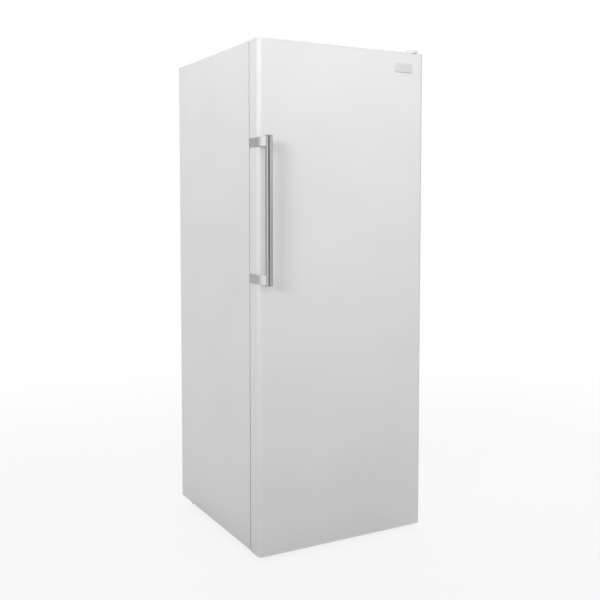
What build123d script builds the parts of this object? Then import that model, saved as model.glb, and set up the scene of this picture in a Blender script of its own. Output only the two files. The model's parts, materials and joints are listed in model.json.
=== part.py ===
from build123d import *
import os

# Upright freezer with one door. Millimetres, +Z up, +Y towards the back, +X to the right.
# The origin is on the floor, under the middle of the overall box.

os.makedirs("parts", exist_ok=True)

# ---- overall sizes ----
width = 600
door_height = 1553
door_thickness = 58
door_gap = 6                  # door back to cabinet front
cabinet_depth = 574
ground_clearance = 16         # floor to the door's lower edge
cabinet_lift = 2              # the cabinet's lower edge above the door's
handle_reach = 50.5           # door front to the front of the handle bar
rear_standoff = 30            # cabinet back to the wall side of the spacers

# ---- sheet, walls and insulation ----
sheet = 0.8
base_sheet = 1.0
liner_wall = 2.0
wrapper_bend = 5.0
steel_flange = 36             # steel face round the opening
side_insulation = 56
end_insulation = 60           # above and below the storage space
back_insulation = 60
step_insulation = 50
liner_corner = 22
recess_depth = 230            # machine recess, from the cabinet back
recess_height = 215

# ---- clearances ----
seam = 0.3                    # between fixed neighbours
seal_gap = 0.3                # gasket to the cabinet's steel face
pin_clearance = 0.05          # radial, moving pin in its hole
rivet_clearance = 0.02        # radial, fixed shank in its hole
pocket_slack = 1.0            # foam pocket round what passes through

# ---- evaporator shelves ----
shelf_count = 4
first_shelf_rise = 17         # first shelf above the step
top_shelf_space = 303         # top shelf below the ceiling
shelf_front_set_back = 95     # shelf front behind the cabinet front
shelf_back_space = 12
shelf_tube_radius = 4.0
shelf_passes = 8
shelf_front_margin = 20
shelf_pass_margin = 49        # ends of the passes to the liner wall
shelf_pass_tail = 10
shelf_wire_radius = 1.5
shelf_wire_margin = 5         # outermost wire to the tube end
shelf_wire_count = 17
shelf_rail_radius = 2.5
weld_sink = 0.4
clip_size = 14
clip_depth = 6
rail_end_gap = 1.5           # shelf rail to the liner wall
riser_reach = 16
riser_bend = 12
tail_reach = 28
tail_rise = 30

# ---- bottom drawer ----
drawer_height = 190
drawer_wall = 2.5
drawer_side_space = 8
drawer_corner_step = 2        # bottom corners tighter than the liner's
drawer_back_space = 6
drawer_rim = 8

# ---- controls ----
control_length = 120
control_height = 80
control_thickness = 22
control_set_back = 210
control_drop = 50             # top of the control box below the ceiling
control_round = 5
knob_radius = 20
knob_length = 15
knob_gap = 0.5
knob_shaft_radius = 4
knob_shaft_depth = 10
knob_skirt = 6
knob_grip = 10
knob_grip_inset = 2
lamp_size = (110, 60, 16)
lamp_set_back = 200
lamp_round = 5
lamp_wall = 2
lamp_board_inset = 12
lamp_board_thickness = 3
switch_x = -150
switch_body = (20, 26, 15)
switch_bezel = (26, 1.0, 19)
plunger_radius = 4
plunger_length = 20
plunger_gap = 0.3
plunger_round = 1.3

# ---- door ----
door_corner = 14
door_return = 14
cap_top_height = 4
cap_bottom_height = 8
skirt_length = 14
cap_proud = 0.5
dike_inset = 14               # dike inside the storage space, all round
dike_width = 30
dike_reach = 55
dike_round = 8
gasket_inset = 18
gasket_width = 16
gasket_corner = 12
gasket_groove = 1.5
gasket_lip = 2

# ---- door bins ----
bin_count = 4
first_bin_rise = 38           # first bin above the dike's lower edge
top_bin_space = 375           # top bin's floor below the dike's upper edge
bin_side_gap = 12             # bin to the dike's inner face
bin_reach = 90
bin_standoff = 3
bin_height = 110
bin_wall = 2.5
bin_corner = 14
hook_depth = 30
hook_height = 40
hook_set_back = 15
hook_top = 15
lug_reach = 9.0
lug_root = 1.0
lug_height = 24
lug_depth = 19
hook_slack = 0.3

# ---- handle ----
bar_radius = 11
bar_chamfer = 1
bar_length = 440.5
bar_centre_height = 1047      # above the door's lower edge
bar_x = 15                    # bar centre from the door's left side
bracket_end_inset = 17.75     # bracket centre from the end of the bar
bracket_height = 27
strap = 4
strap_bend = 8                # the strap bends from this far behind the front face
strap_back_margin = 2
handle_screw_radius = 2.5
handle_screw_pitch = 18
screw_bite = 2.5              # screw into the strap
saddle_front_angle = 10
saddle_back_angle = 30
screw_head_radius = 4.5
screw_head = 1.6

# ---- bare plate ----
plate_width = 62
plate_height = 28.5
plate_thickness = 3
plate_side_inset = 51         # from the door's right side
plate_drop = 36               # below the door's upper edge
plate_corner = 3
plate_chamfer = 0.8

# ---- hinges ----
pin_inset = 17                # pin axis from the door's right side
pin_set_back = 28             # pin axis from the door's front
pin_radius = 3.5
pin_engagement = 16
pin_head_radius = 5.5
pin_head = 2
bush_radius = 7
bush_length = 18
bush_floor = 1
thrust_flange_radius = 10
thrust_flange = 0.7
hinge_plate = 3
hinge_joggle = 1.5            # the plate steps up to clear the door
hinge_lap = 8
hinge_set_back = 2
upper_width = 22
upper_side_margin = 5.5       # pin axis to the plate's right edge
upper_front_margin = 7.5      # pin axis to the plate's front edge
upper_length = 50             # plate on the cabinet
upper_screw_first = 16
upper_screw_pitch = 22
upper_screw_count = 2
lower_width = 53
lower_side_margin = 9.5
lower_front_margin = 12
lower_length = 66
lower_plate = 4
lower_drop = 1.0
lower_screw_inset = 8.5       # screw axis to the plate's back edge
lower_screw_pitch = 17
hinge_screw_radius = 3
hinge_screw_length = 16
cover_slack = 0.5             # hinge plate to the cover's inner walls
cover_height = 15
cover_wall = 2
cover_door_gap = 5.5          # the plate shows below the cover, over the door
cover_round = 4

# ---- feet and rollers ----
foot_inset = 34               # foot axis from the cabinet side
foot_set_back = 40
foot_pad_radius = 16
foot_pad = 8
foot_stem_radius = 5
foot_stem_top = 38
foot_pocket_rise = 4
foot_pad_chamfer = 1.5
roller_radius = 18
roller_width = 20
roller_inset = 25             # roller middle from the cabinet side
roller_set_in = 60            # roller axis in front of the cabinet back
axle_radius = 3
ear_thickness = 2
roller_side_gap = 1.0
ear_half = 11
ear_drop = 6
axle_head_radius = 5
axle_head = 1.5
roller_chamfer = 1.5

# ---- machine recess ----
rail_height = 40
rail_sheet = 2
rail_back_space = 25
rail_depth = 175
rail_flange = 30
compressor_x = 120
compressor_set_in = 115
compressor_radius = 75
compressor_height = 158
compressor_round = 32
seam_ring = 2.0
seam_ring_height = 6
grommet_height = 12
grommet_radius = 11
grommet_bore = 3.5
grommet_neck = 5
compressor_foot = (200, 120, 4)
foot_hole_span = (180, 100)
relay_size = (34, 46, 60)
relay_rise = 4
relay_bite = 8
relay_round = 4
gland_inset = 100             # from the left side
gland_height = 62
gland_radius = 10
gland_neck = 7.4
gland_bore = 4.2
gland_flange = 6
tab_half = 15
tab_sheet = 2
tab_top = 76

# ---- condenser and pipework ----
coil_side_margin = 95         # end of the passes from the cabinet side
coil_bottom = 330
coil_top_drop = 139           # top pass below the cabinet top
coil_passes = 21
coil_tube_radius = 2.5
coil_stand = 15               # tube centre behind the cabinet back
coil_wire_radius = 0.9
coil_wire_count = 16
coil_wire_margin = 10         # outermost wire from the end of the passes
coil_leg_reach = 40           # outlet leg beyond the passes
coil_leg_bottom = 300
coil_bend = 10
coil_bracket = (20, 12)
coil_bracket_inset = 55
coil_bracket_pass = 2
coil_wire_over = 10
drier_radius = 10
drier_length = 120
drier_neck = 2.6
capillary_radius = 1.2
capillary_drop = 30
capillary_inset = 40
suction_radius = 4
suction_reach = 26
suction_height = 120
pipe_bend = 12
discharge_height = 150
discharge_reach = 25
discharge_riser_reach = 27    # riser beyond the passes
pipe_gap = 0.2
drain_radius = 8
drain_wall = 1.5
drain_set_back = 60
drain_below = 6
spacer_size = (30, 40)
spacer_inset = 105            # spacer middle from the cabinet side
spacer_drop = 50              # spacer top below the cabinet top
spacer_chamfer = 4

# ---- planes and edges worked out from the sizes above ----
overall_depth = handle_reach + door_thickness + door_gap + cabinet_depth + rear_standoff
door_front = handle_reach - overall_depth / 2
door_back = door_front + door_thickness
cab_front = door_back + door_gap
cab_back = cab_front + cabinet_depth
door_bottom = ground_clearance
door_top = door_bottom + door_height
cab_bottom = door_bottom + cabinet_lift
cab_top = door_top
half = width / 2
inner_half = half - sheet

cavity_half = half - side_insulation
cavity_back = cab_back - back_insulation
cavity_bottom = cab_bottom + end_insulation
cavity_top = cab_top - end_insulation
recess_front = cab_back - recess_depth
recess_top = cab_bottom + recess_height
step_front = recess_front - step_insulation
step_top = recess_top + step_insulation

shelf_front = cab_front + shelf_front_set_back
shelf_back = cavity_back - shelf_back_space
first_shelf = step_top + first_shelf_rise
shelf_pitch = (cavity_top - top_shelf_space - first_shelf) / (shelf_count - 1)
shelf_levels = [first_shelf + i * shelf_pitch for i in range(shelf_count)]
shelf_pass_pitch = (shelf_back - shelf_front - 2 * shelf_front_margin) / (shelf_passes - 1)
shelf_pass_half = cavity_half - shelf_pass_margin
tube_end = shelf_pass_half + shelf_pass_tail
shelf_wire_pitch = 2 * (tube_end - shelf_wire_margin) / (shelf_wire_count - 1)
wire_centre = shelf_tube_radius + shelf_wire_radius - weld_sink
rail_half = cavity_half - rail_end_gap

pin_x = half - pin_inset
pin_y = door_front + pin_set_back
foot_x = half - foot_inset
foot_y = cab_front + foot_set_back
roller_x = half - roller_inset
roller_y = cab_back - roller_set_in
cord_gland_x = gland_inset - half
spacer_x = half - spacer_inset
drain_y = cab_front + drain_set_back
dike_half = cavity_half - dike_inset
dike_inner = dike_half - dike_width
dike_bottom = cavity_bottom + dike_inset
dike_top = cavity_top - dike_inset
first_bin = dike_bottom + first_bin_rise
bin_pitch = (dike_top - top_bin_space - first_bin) / (bin_count - 1)
bin_floors = [first_bin + i * bin_pitch for i in range(bin_count)]
bin_half = dike_inner - bin_side_gap
bin_back = door_back + bin_standoff
bin_front = door_back + bin_reach
hook_start = door_back + hook_set_back
lug_front = hook_start + (hook_depth - lug_depth) / 2
bar_middle_x = -half + bar_x
bar_low = door_bottom + bar_centre_height - bar_length / 2
bar_y = door_front - handle_reach + bar_radius
bracket_half_gap = bar_length / 2 - bracket_end_inset
bracket_levels = [door_bottom + bar_centre_height + s * bracket_half_gap for s in (-1, 1)]
strap_middle = (door_front + door_back) / 2
handle_screw_ys = [strap_middle + s * handle_screw_pitch / 2 for s in (-1, 1)]
coil_y = cab_back + coil_stand
coil_half = half - coil_side_margin
coil_leg_x = coil_half + coil_leg_reach
coil_bracket_x = coil_half - coil_bracket_inset
coil_top = cab_top - coil_top_drop
coil_pitch = (coil_top - coil_bottom) / (coil_passes - 1)
coil_wire_pitch = 2 * (coil_half - coil_wire_margin) / (coil_wire_count - 1)
discharge_x = coil_half + discharge_riser_reach
rail_back = cab_back - rail_back_space
rail_front = rail_back - rail_depth
compressor_y = cab_back - compressor_set_in
compressor_bottom = rail_height + rail_sheet + grommet_height
switch_z = (cavity_top + cab_top - steel_flange) / 2
upper_x = (pin_x + upper_side_margin - upper_width, pin_x + upper_side_margin)
upper_y = (pin_y - upper_front_margin, cab_front + upper_length)
lower_x = (pin_x + lower_side_margin - lower_width, pin_x + lower_side_margin)
lower_y = (pin_y - lower_front_margin, cab_front + lower_length)
upper_screws = [(sum(upper_x) / 2, cab_front + upper_screw_first + i * upper_screw_pitch)
                for i in range(upper_screw_count)]
lower_screws = [(side * (sum(lower_x) / 2 + end * lower_screw_pitch / 2),
                 lower_y[1] - lower_screw_inset) for end in (-1, 1) for side in (-1, 1)]


def block(x, y, z, mode=Mode.ADD):
    """Rectangular block between three pairs of coordinates."""
    middle = ((x[0] + x[1]) / 2, (y[0] + y[1]) / 2, (z[0] + z[1]) / 2)
    with Locations(middle):
        Box(x[1] - x[0], y[1] - y[0], z[1] - z[0], mode=mode)


def rod(start, direction, radius, length, mode=Mode.ADD):
    """Round rod from a point along a direction."""
    with BuildSketch(Plane(origin=start, z_dir=direction)) as section:
        Circle(radius)
    extrude(section.sketch, amount=length, mode=mode)


def bent_tube(points, bend, radius):
    """Round tube along straight runs joined by arcs."""
    with BuildLine() as route:
        FilletPolyline(*points, radius=bend)
    wire = route.wire()
    with BuildSketch(Plane(origin=wire @ 0, z_dir=wire % 0)) as section:
        Circle(radius)
    sweep(section.sketch, path=wire)


def front_panel(inset, corner, x_half, z, y, mode=Mode.ADD):
    """Block seen from the front as a rectangle with rounded corners, between two depths."""
    with BuildSketch(Plane.XZ.offset(-y[0])) as outline:
        with Locations((0, (z[0] + z[1]) / 2)):
            RectangleRounded(2 * (x_half - inset), z[1] - z[0] - 2 * inset, corner)
    extrude(outline.sketch, amount=y[0] - y[1], mode=mode)


def cabinet_arch(inset, y, z_low, mode=Mode.ADD):
    """Block with the cabinet's front outline, its two upper corners rounded."""
    with BuildSketch(Plane.XZ.offset(-y[0])) as outline:
        with Locations((0, (z_low + cab_top - inset) / 2)):
            Rectangle(width - 2 * inset, cab_top - inset - z_low)
        fillet(outline.vertices().group_by(Axis.Y)[-1], wrapper_bend - inset)
    extrude(outline.sketch, amount=y[0] - y[1], mode=mode)


def stepped_space(grow):
    """The storage space with its step over the machine recess, grown by a wall."""
    with BuildPart() as space:
        front_panel(-grow, liner_corner + grow, cavity_half, (cavity_bottom, cavity_top),
                    (cab_front, cavity_back + grow))
        block((-half, half), (step_front + grow, cab_back), (cab_bottom, step_top - grow),
              Mode.SUBTRACT)
    return space.part


def door_outline(z, inset):
    """The door's outline from above, its front corners rounded."""
    with BuildSketch(Plane.XY.offset(z)) as outline:
        with Locations((0, (door_front + door_back) / 2)):
            Rectangle(width - 2 * inset, door_thickness - 2 * inset)
        fillet(outline.vertices().group_by(Axis.Y)[0], door_corner - inset)
    return outline.sketch


def dike_ring(inset, start_y):
    """The raised ring on the door's inner face from a depth, shrunk by a wall all round."""
    with BuildPart() as ring:
        front_panel(inset, liner_corner - inset, dike_half, (dike_bottom, dike_top),
                    (start_y, door_back + dike_reach - inset))
        front_panel(dike_width - inset, liner_corner / 2 + inset, dike_half,
                    (dike_bottom, dike_top), (start_y, door_back + dike_reach), Mode.SUBTRACT)
        fillet(ring.edges().group_by(Axis.Y)[-1], dike_round - inset)
    return ring.part


# ================= cabinet =================

with BuildPart() as outer_wrapper:
    cabinet_arch(0, (cab_front, cab_back), cab_bottom)
    cabinet_arch(sheet, (cab_front + sheet, cab_back), cab_bottom, Mode.SUBTRACT)
    block((-half + steel_flange, half - steel_flange), (cab_front, cab_front + sheet),
          (cab_bottom, cab_top - steel_flange), Mode.SUBTRACT)
    for x, y in upper_screws:
        rod((x, y, cab_top), (0, 0, -1), hinge_screw_radius + rivet_clearance, sheet,
            Mode.SUBTRACT)
outer_wrapper.part.label = "outer_wrapper"
export_step(outer_wrapper.part, "parts/outer_wrapper.step")

with BuildPart() as back_panel:
    cabinet_arch(sheet, (cab_back - sheet, cab_back), recess_top)
back_panel.part.label = "back_panel"
export_step(back_panel.part, "parts/back_panel.step")

with BuildPart() as base_panel:
    block((-inner_half, inner_half), (cab_front + sheet, recess_front),
          (cab_bottom, cab_bottom + base_sheet))
    block((-inner_half, inner_half), (recess_front - base_sheet, recess_front),
          (cab_bottom, recess_top))
    block((-inner_half, inner_half), (recess_front - base_sheet, cab_back),
          (recess_top - base_sheet, recess_top))
    block((-half + steel_flange, half - steel_flange), (cab_front, cab_front + base_sheet),
          (cab_bottom, cab_bottom + steel_flange))
    for side in (-1, 1):
        rod((side * foot_x, foot_y, cab_bottom), (0, 0, 1),
            foot_stem_radius + pocket_slack, base_sheet, Mode.SUBTRACT)
    rod((0, drain_y, cab_bottom), (0, 0, 1),
        drain_radius + seam, base_sheet, Mode.SUBTRACT)
    for x, y in lower_screws:
        rod((x, y, cab_bottom), (0, 0, 1), hinge_screw_radius + rivet_clearance, base_sheet,
            Mode.SUBTRACT)
base_panel.part.label = "base_panel"
export_step(base_panel.part, "parts/base_panel.step")

with BuildPart() as inner_liner:
    add(stepped_space(liner_wall))
    front_panel(0, seam, half - steel_flange - seam,
                (cab_bottom + steel_flange + seam, cab_top - steel_flange - seam),
                (cab_front, cab_front + liner_wall))
    add(stepped_space(0), mode=Mode.SUBTRACT)
    rod((0, drain_y, cavity_bottom), (0, 0, -1),
        drain_radius - drain_wall, liner_wall, Mode.SUBTRACT)
    block((switch_x - switch_body[0] / 2 - seam, switch_x + switch_body[0] / 2 + seam),
          (cab_front, cab_front + liner_wall),
          (switch_z - switch_body[2] / 2 - seam, switch_z + switch_body[2] / 2 + seam),
          Mode.SUBTRACT)
inner_liner.part.label = "inner_liner"
export_step(inner_liner.part, "parts/inner_liner.step")

with BuildPart() as cabinet_foam:
    cabinet_arch(sheet + seam, (cab_front + liner_wall + seam, cab_back - sheet - seam),
                 cab_bottom + base_sheet + seam)
    block((-half, half), (recess_front - base_sheet - seam, cab_back),
          (cab_bottom, recess_top + seam), Mode.SUBTRACT)
    add(stepped_space(liner_wall + seam), mode=Mode.SUBTRACT)
    for side in (-1, 1):
        rod((side * foot_x, foot_y, cab_bottom), (0, 0, 1),
            foot_stem_radius + 2 * pocket_slack, foot_stem_top + foot_pocket_rise - cab_bottom,
            Mode.SUBTRACT)
    rod((0, drain_y, cab_bottom), (0, 0, 1),
        drain_radius + seam, end_insulation, Mode.SUBTRACT)
    block((switch_x - switch_body[0] / 2 - seam, switch_x + switch_body[0] / 2 + seam),
          (cab_front, cab_front + switch_body[1] + pocket_slack),
          (switch_z - switch_body[2] / 2 - seam, switch_z + switch_body[2] / 2 + seam),
          Mode.SUBTRACT)
    for x, y in upper_screws:
        rod((x, y, cab_top), (0, 0, -1), hinge_screw_radius + seam,
            hinge_screw_length + pocket_slack, Mode.SUBTRACT)
    for x, y in lower_screws:
        rod((x, y, cab_bottom), (0, 0, 1), hinge_screw_radius + seam,
            hinge_screw_length + pocket_slack, Mode.SUBTRACT)
cabinet_foam.part.label = "cabinet_foam"
export_step(cabinet_foam.part, "parts/cabinet_foam.step")

# ================= cold side =================


def serpentine(plane, passes, pitch, reach, tail):
    """Path of parallel passes joined by half-round turns, starting on the right."""
    with BuildLine(plane) as route:
        for i in range(passes):
            side = 1 if i % 2 == 0 else -1
            start = side * (reach + (tail if i == 0 else 0))
            end = -side * (reach + (tail if i == passes - 1 else 0))
            Line((start, i * pitch), (end, i * pitch))
            if i < passes - 1:
                ThreePointArc((end, i * pitch), (-side * (reach + pitch / 2), (i + 0.5) * pitch),
                              (end, (i + 1) * pitch))
    return route.wire()


def swept_round(wire, radius):
    """Round bar along a path."""
    with BuildSketch(Plane(origin=wire @ 0, z_dir=wire % 0)) as section:
        Circle(radius)
    sweep(section.sketch, path=wire)


def shelf_form():
    """One evaporator shelf at height zero: a tube under a welded wire deck."""
    first_pass = Plane(origin=(0, shelf_front + shelf_front_margin, 0), z_dir=(0, 0, 1))
    with BuildPart() as form:
        swept_round(serpentine(first_pass, shelf_passes, shelf_pass_pitch, shelf_pass_half,
                               shelf_pass_tail), shelf_tube_radius)
        with BuildSketch(Plane.XZ.offset(-shelf_front)) as wires:
            with Locations((0, wire_centre)):
                with GridLocations(shelf_wire_pitch, 1, shelf_wire_count, 1):
                    Circle(shelf_wire_radius)
        extrude(wires.sketch, amount=shelf_front - shelf_back)
        for y in (shelf_front, shelf_back):
            rod((-rail_half, y, wire_centre), (1, 0, 0), shelf_rail_radius, 2 * rail_half)
    return form.part


shelf_template = shelf_form()
for number, level in enumerate(shelf_levels, start=1):
    with BuildPart() as evaporator_shelf:
        add(shelf_template.moved(Location((0, 0, level))))
    evaporator_shelf.part.label = f"evaporator_shelf_{number}"
    export_step(evaporator_shelf.part, f"parts/evaporator_shelf_{number}.step")

front_pass = shelf_front + shelf_front_margin
rear_pass = shelf_back - shelf_front_margin
with BuildPart() as evaporator_risers:
    for i in range(shelf_count - 1):
        y = rear_pass if i % 2 == 0 else front_pass
        low, high = shelf_levels[i], shelf_levels[i + 1]
        bent_tube([(tube_end + pipe_gap, y, low), (tube_end + riser_reach, y, low),
                   (tube_end + riser_reach, y, high), (tube_end + pipe_gap, y, high)],
                  riser_bend, shelf_tube_radius)
    for level in (shelf_levels[0], shelf_levels[-1]):
        bent_tube([(tube_end + pipe_gap, front_pass, level),
                   (tube_end + tail_reach, front_pass, level),
                   (tube_end + tail_reach, front_pass, level + tail_rise),
                   (tube_end + tail_reach, cavity_back - pipe_gap, level + tail_rise)],
                  riser_bend, shelf_tube_radius)
evaporator_risers.part.label = "evaporator_risers"
export_step(evaporator_risers.part, "parts/evaporator_risers.step")

with BuildPart() as shelf_clips:
    for level in shelf_levels:
        for y in (shelf_front, shelf_back):
            for side in (-1, 1):
                x = sorted((side * cavity_half, side * (cavity_half - clip_depth)))
                block(x, (y - clip_size / 2, y + clip_size / 2),
                      (level + wire_centre - clip_size / 2, level + wire_centre + clip_size / 2))
                rod((side * (cavity_half - clip_depth), y, level + wire_centre), (side, 0, 0),
                    shelf_rail_radius + pin_clearance, clip_depth - rail_end_gap / 2,
                    Mode.SUBTRACT)
shelf_clips.part.label = "shelf_clips"
export_step(shelf_clips.part, "parts/shelf_clips.step")

drawer_half = cavity_half - drawer_side_space
drawer_back = step_front - drawer_back_space
drawer_top = cavity_bottom + drawer_height
drawer_corner = liner_corner - drawer_corner_step
with BuildPart() as storage_drawer:
    front_panel(0, drawer_corner, drawer_half, (cavity_bottom, drawer_top + drawer_corner),
                (shelf_front, drawer_back))
    front_panel(drawer_wall, drawer_corner - drawer_wall, drawer_half,
                (cavity_bottom, drawer_top + drawer_corner),
                (shelf_front + drawer_wall, drawer_back - drawer_wall), Mode.SUBTRACT)
    block((-half, half), (shelf_front, drawer_back), (drawer_top, drawer_top + drawer_corner),
          Mode.SUBTRACT)
    block((-drawer_half, drawer_half), (shelf_front - drawer_rim, shelf_front + drawer_wall),
          (drawer_top - drawer_wall, drawer_top))
storage_drawer.part.label = "storage_drawer"
export_step(storage_drawer.part, "parts/storage_drawer.step")

# ================= controls inside the storage space =================

control_face = cavity_half - control_thickness
control_top = cavity_top - control_drop
knob_y = cab_front + control_set_back + control_height / 2
knob_z = control_top - control_height / 2
with BuildPart() as thermostat_housing:
    block((control_face, cavity_half),
          (cab_front + control_set_back, cab_front + control_set_back + control_length),
          (control_top - control_height, control_top))
    fillet(thermostat_housing.edges().group_by(Axis.X)[0], control_round)
    rod((control_face, knob_y, knob_z), (1, 0, 0), knob_shaft_radius + pin_clearance,
        knob_shaft_depth + knob_gap, Mode.SUBTRACT)
thermostat_housing.part.label = "thermostat_housing"
export_step(thermostat_housing.part, "parts/thermostat_housing.step")

with BuildPart() as thermostat_knob:
    rod((control_face - knob_gap, knob_y, knob_z), (-1, 0, 0), knob_radius, knob_skirt)
    block((control_face - knob_gap - knob_length, control_face - knob_gap - knob_skirt),
          (knob_y - knob_grip / 2, knob_y + knob_grip / 2),
          (knob_z - knob_radius + knob_grip_inset, knob_z + knob_radius - knob_grip_inset))
    rod((control_face - knob_gap, knob_y, knob_z), (1, 0, 0), knob_shaft_radius,
        knob_shaft_depth)
thermostat_knob.part.label = "thermostat_knob"
export_step(thermostat_knob.part, "parts/thermostat_knob.step")

lamp_front = cab_front + lamp_set_back
with BuildPart() as lamp_cover:
    block((-lamp_size[0] / 2, lamp_size[0] / 2), (lamp_front, lamp_front + lamp_size[1]),
          (cavity_top - lamp_size[2], cavity_top))
    fillet(lamp_cover.edges().group_by(Axis.Z)[0], lamp_round)
    block((-lamp_size[0] / 2 + lamp_wall, lamp_size[0] / 2 - lamp_wall),
          (lamp_front + lamp_wall, lamp_front + lamp_size[1] - lamp_wall),
          (cavity_top - lamp_size[2] + lamp_wall + lamp_round / 2, cavity_top), Mode.SUBTRACT)
lamp_cover.part.label = "lamp_cover"
export_step(lamp_cover.part, "parts/lamp_cover.step")

with BuildPart() as lamp_board:
    block((-lamp_size[0] / 2 + lamp_board_inset, lamp_size[0] / 2 - lamp_board_inset),
          (lamp_front + lamp_board_inset, lamp_front + lamp_size[1] - lamp_board_inset),
          (cavity_top - lamp_board_thickness, cavity_top))
lamp_board.part.label = "lamp_board"
export_step(lamp_board.part, "parts/lamp_board.step")

with BuildPart() as door_switch_body:
    block((switch_x - switch_body[0] / 2, switch_x + switch_body[0] / 2),
          (cab_front - switch_bezel[1], cab_front + switch_body[1]),
          (switch_z - switch_body[2] / 2, switch_z + switch_body[2] / 2))
    block((switch_x - switch_bezel[0] / 2, switch_x + switch_bezel[0] / 2),
          (cab_front - switch_bezel[1], cab_front),
          (switch_z - switch_bezel[2] / 2, switch_z + switch_bezel[2] / 2))
    rod((switch_x, cab_front - switch_bezel[1], switch_z), (0, 1, 0),
        plunger_radius + pin_clearance, plunger_length, Mode.SUBTRACT)
door_switch_body.part.label = "door_switch_body"
export_step(door_switch_body.part, "parts/door_switch_body.step")

with BuildPart() as door_switch_plunger:
    rod((switch_x, door_back + plunger_gap, switch_z), (0, 1, 0), plunger_radius, plunger_length)
    fillet(door_switch_plunger.edges().group_by(Axis.Y)[0], plunger_round)
door_switch_plunger.part.label = "door_switch_plunger"
export_step(door_switch_plunger.part, "parts/door_switch_plunger.step")

# ================= door =================

skin_low = door_bottom + cap_bottom_height
skin_high = door_top - cap_top_height
foam_low = skin_low + skirt_length
foam_high = skin_high - skirt_length
liner_front = door_back - liner_wall
with BuildPart() as door_skin:
    extrude(door_outline(skin_low, 0), amount=skin_high - skin_low)
    extrude(door_outline(skin_low, sheet), amount=skin_high - skin_low, mode=Mode.SUBTRACT)
    block((-half + door_return, half - door_return), (door_back - sheet, door_back),
          (skin_low, skin_high), Mode.SUBTRACT)
    for level in bracket_levels:
        for y in handle_screw_ys:
            rod((-half, y, level), (1, 0, 0), handle_screw_radius + rivet_clearance, sheet,
                Mode.SUBTRACT)
door_skin.part.label = "door_skin"
export_step(door_skin.part, "parts/door_skin.step")


def end_cap(plate_low, plate_high, skirt_low, skirt_high):
    """End cap of the door: a proud plate with a skirt that plugs into the skin."""
    with BuildPart() as cap:
        extrude(door_outline(plate_low, -cap_proud), amount=plate_high - plate_low)
        extrude(door_outline(skirt_low, sheet + seam), amount=skirt_high - skirt_low)
        block((-half, half), (liner_front - seam, door_back + cap_proud),
              (skirt_low, skirt_high), Mode.SUBTRACT)
    return cap.part


with BuildPart() as door_cap_top:
    add(end_cap(skin_high, door_top, foam_high, skin_high))
    rod((pin_x, pin_y, door_top), (0, 0, -1), bush_radius + rivet_clearance, bush_length,
        Mode.SUBTRACT)
door_cap_top.part.label = "door_cap_top"
export_step(door_cap_top.part, "parts/door_cap_top.step")

with BuildPart() as door_cap_bottom:
    add(end_cap(door_bottom, skin_low, skin_low, foam_low))
    rod((pin_x, pin_y, door_bottom), (0, 0, 1), bush_radius + rivet_clearance, bush_length,
        Mode.SUBTRACT)
door_cap_bottom.part.label = "door_cap_bottom"
export_step(door_cap_bottom.part, "parts/door_cap_bottom.step")

with BuildPart() as door_liner:
    block((-half + door_return + seam, half - door_return - seam), (liner_front, door_back),
          (skin_low + seam, skin_high - seam))
    add(dike_ring(0, liner_front))
    add(dike_ring(liner_wall, liner_front), mode=Mode.SUBTRACT)
    for floor in bin_floors:
        notch_top = floor + bin_height - hook_top
        for side in (-1, 1):
            x = sorted((side * (dike_inner + lug_root), side * (dike_inner - lug_reach)))
            block(x, (lug_front, lug_front + lug_depth),
                  (notch_top - hook_slack - lug_height, notch_top - hook_slack))
door_liner.part.label = "door_liner"
export_step(door_liner.part, "parts/door_liner.step")

with BuildPart() as door_foam:
    extrude(door_outline(foam_low + seam, sheet + seam), amount=foam_high - foam_low - 2 * seam)
    block((-half, half), (liner_front - seam, door_back), (foam_low, foam_high), Mode.SUBTRACT)
    add(dike_ring(liner_wall + seam, liner_front - liner_wall))
    for level in bracket_levels:
        for y in handle_screw_ys:
            rod((-half, y, level), (1, 0, 0), screw_head_radius + seam,
                sheet + screw_head + seam + pocket_slack, Mode.SUBTRACT)
door_foam.part.label = "door_foam"
export_step(door_foam.part, "parts/door_foam.step")


def gasket_ring(trim, y):
    """One layer of the gasket, narrowed on both sides by a trim."""
    outer_half = half - gasket_inset
    z = (cab_bottom + gasket_inset, cab_top - gasket_inset)
    with BuildPart() as ring:
        front_panel(trim, gasket_corner - trim, outer_half, z, y)
        front_panel(gasket_width - trim, gasket_corner / 2, outer_half, z, y, Mode.SUBTRACT)
    return ring.part


with BuildPart() as door_gasket:
    add(gasket_ring(0, (door_back, door_back + gasket_lip)))
    add(gasket_ring(gasket_groove, (door_back + gasket_lip, cab_front - seal_gap - gasket_lip)))
    add(gasket_ring(0, (cab_front - seal_gap - gasket_lip, cab_front - seal_gap)))
door_gasket.part.label = "door_gasket"
export_step(door_gasket.part, "parts/door_gasket.step")

with BuildPart() as door_bushes:
    rod((pin_x, pin_y, door_top), (0, 0, -1), bush_radius, bush_length)
    rod((pin_x, pin_y, door_top), (0, 0, -1), pin_radius + pin_clearance,
        bush_length - bush_floor, Mode.SUBTRACT)
    rod((pin_x, pin_y, door_bottom), (0, 0, 1), bush_radius, bush_length)
    rod((pin_x, pin_y, door_bottom - thrust_flange), (0, 0, 1), thrust_flange_radius,
        thrust_flange)
    rod((pin_x, pin_y, door_bottom - thrust_flange), (0, 0, 1), pin_radius + pin_clearance,
        bush_length - bush_floor + thrust_flange, Mode.SUBTRACT)
door_bushes.part.label = "door_bushes"
export_step(door_bushes.part, "parts/door_bushes.step")


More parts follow.
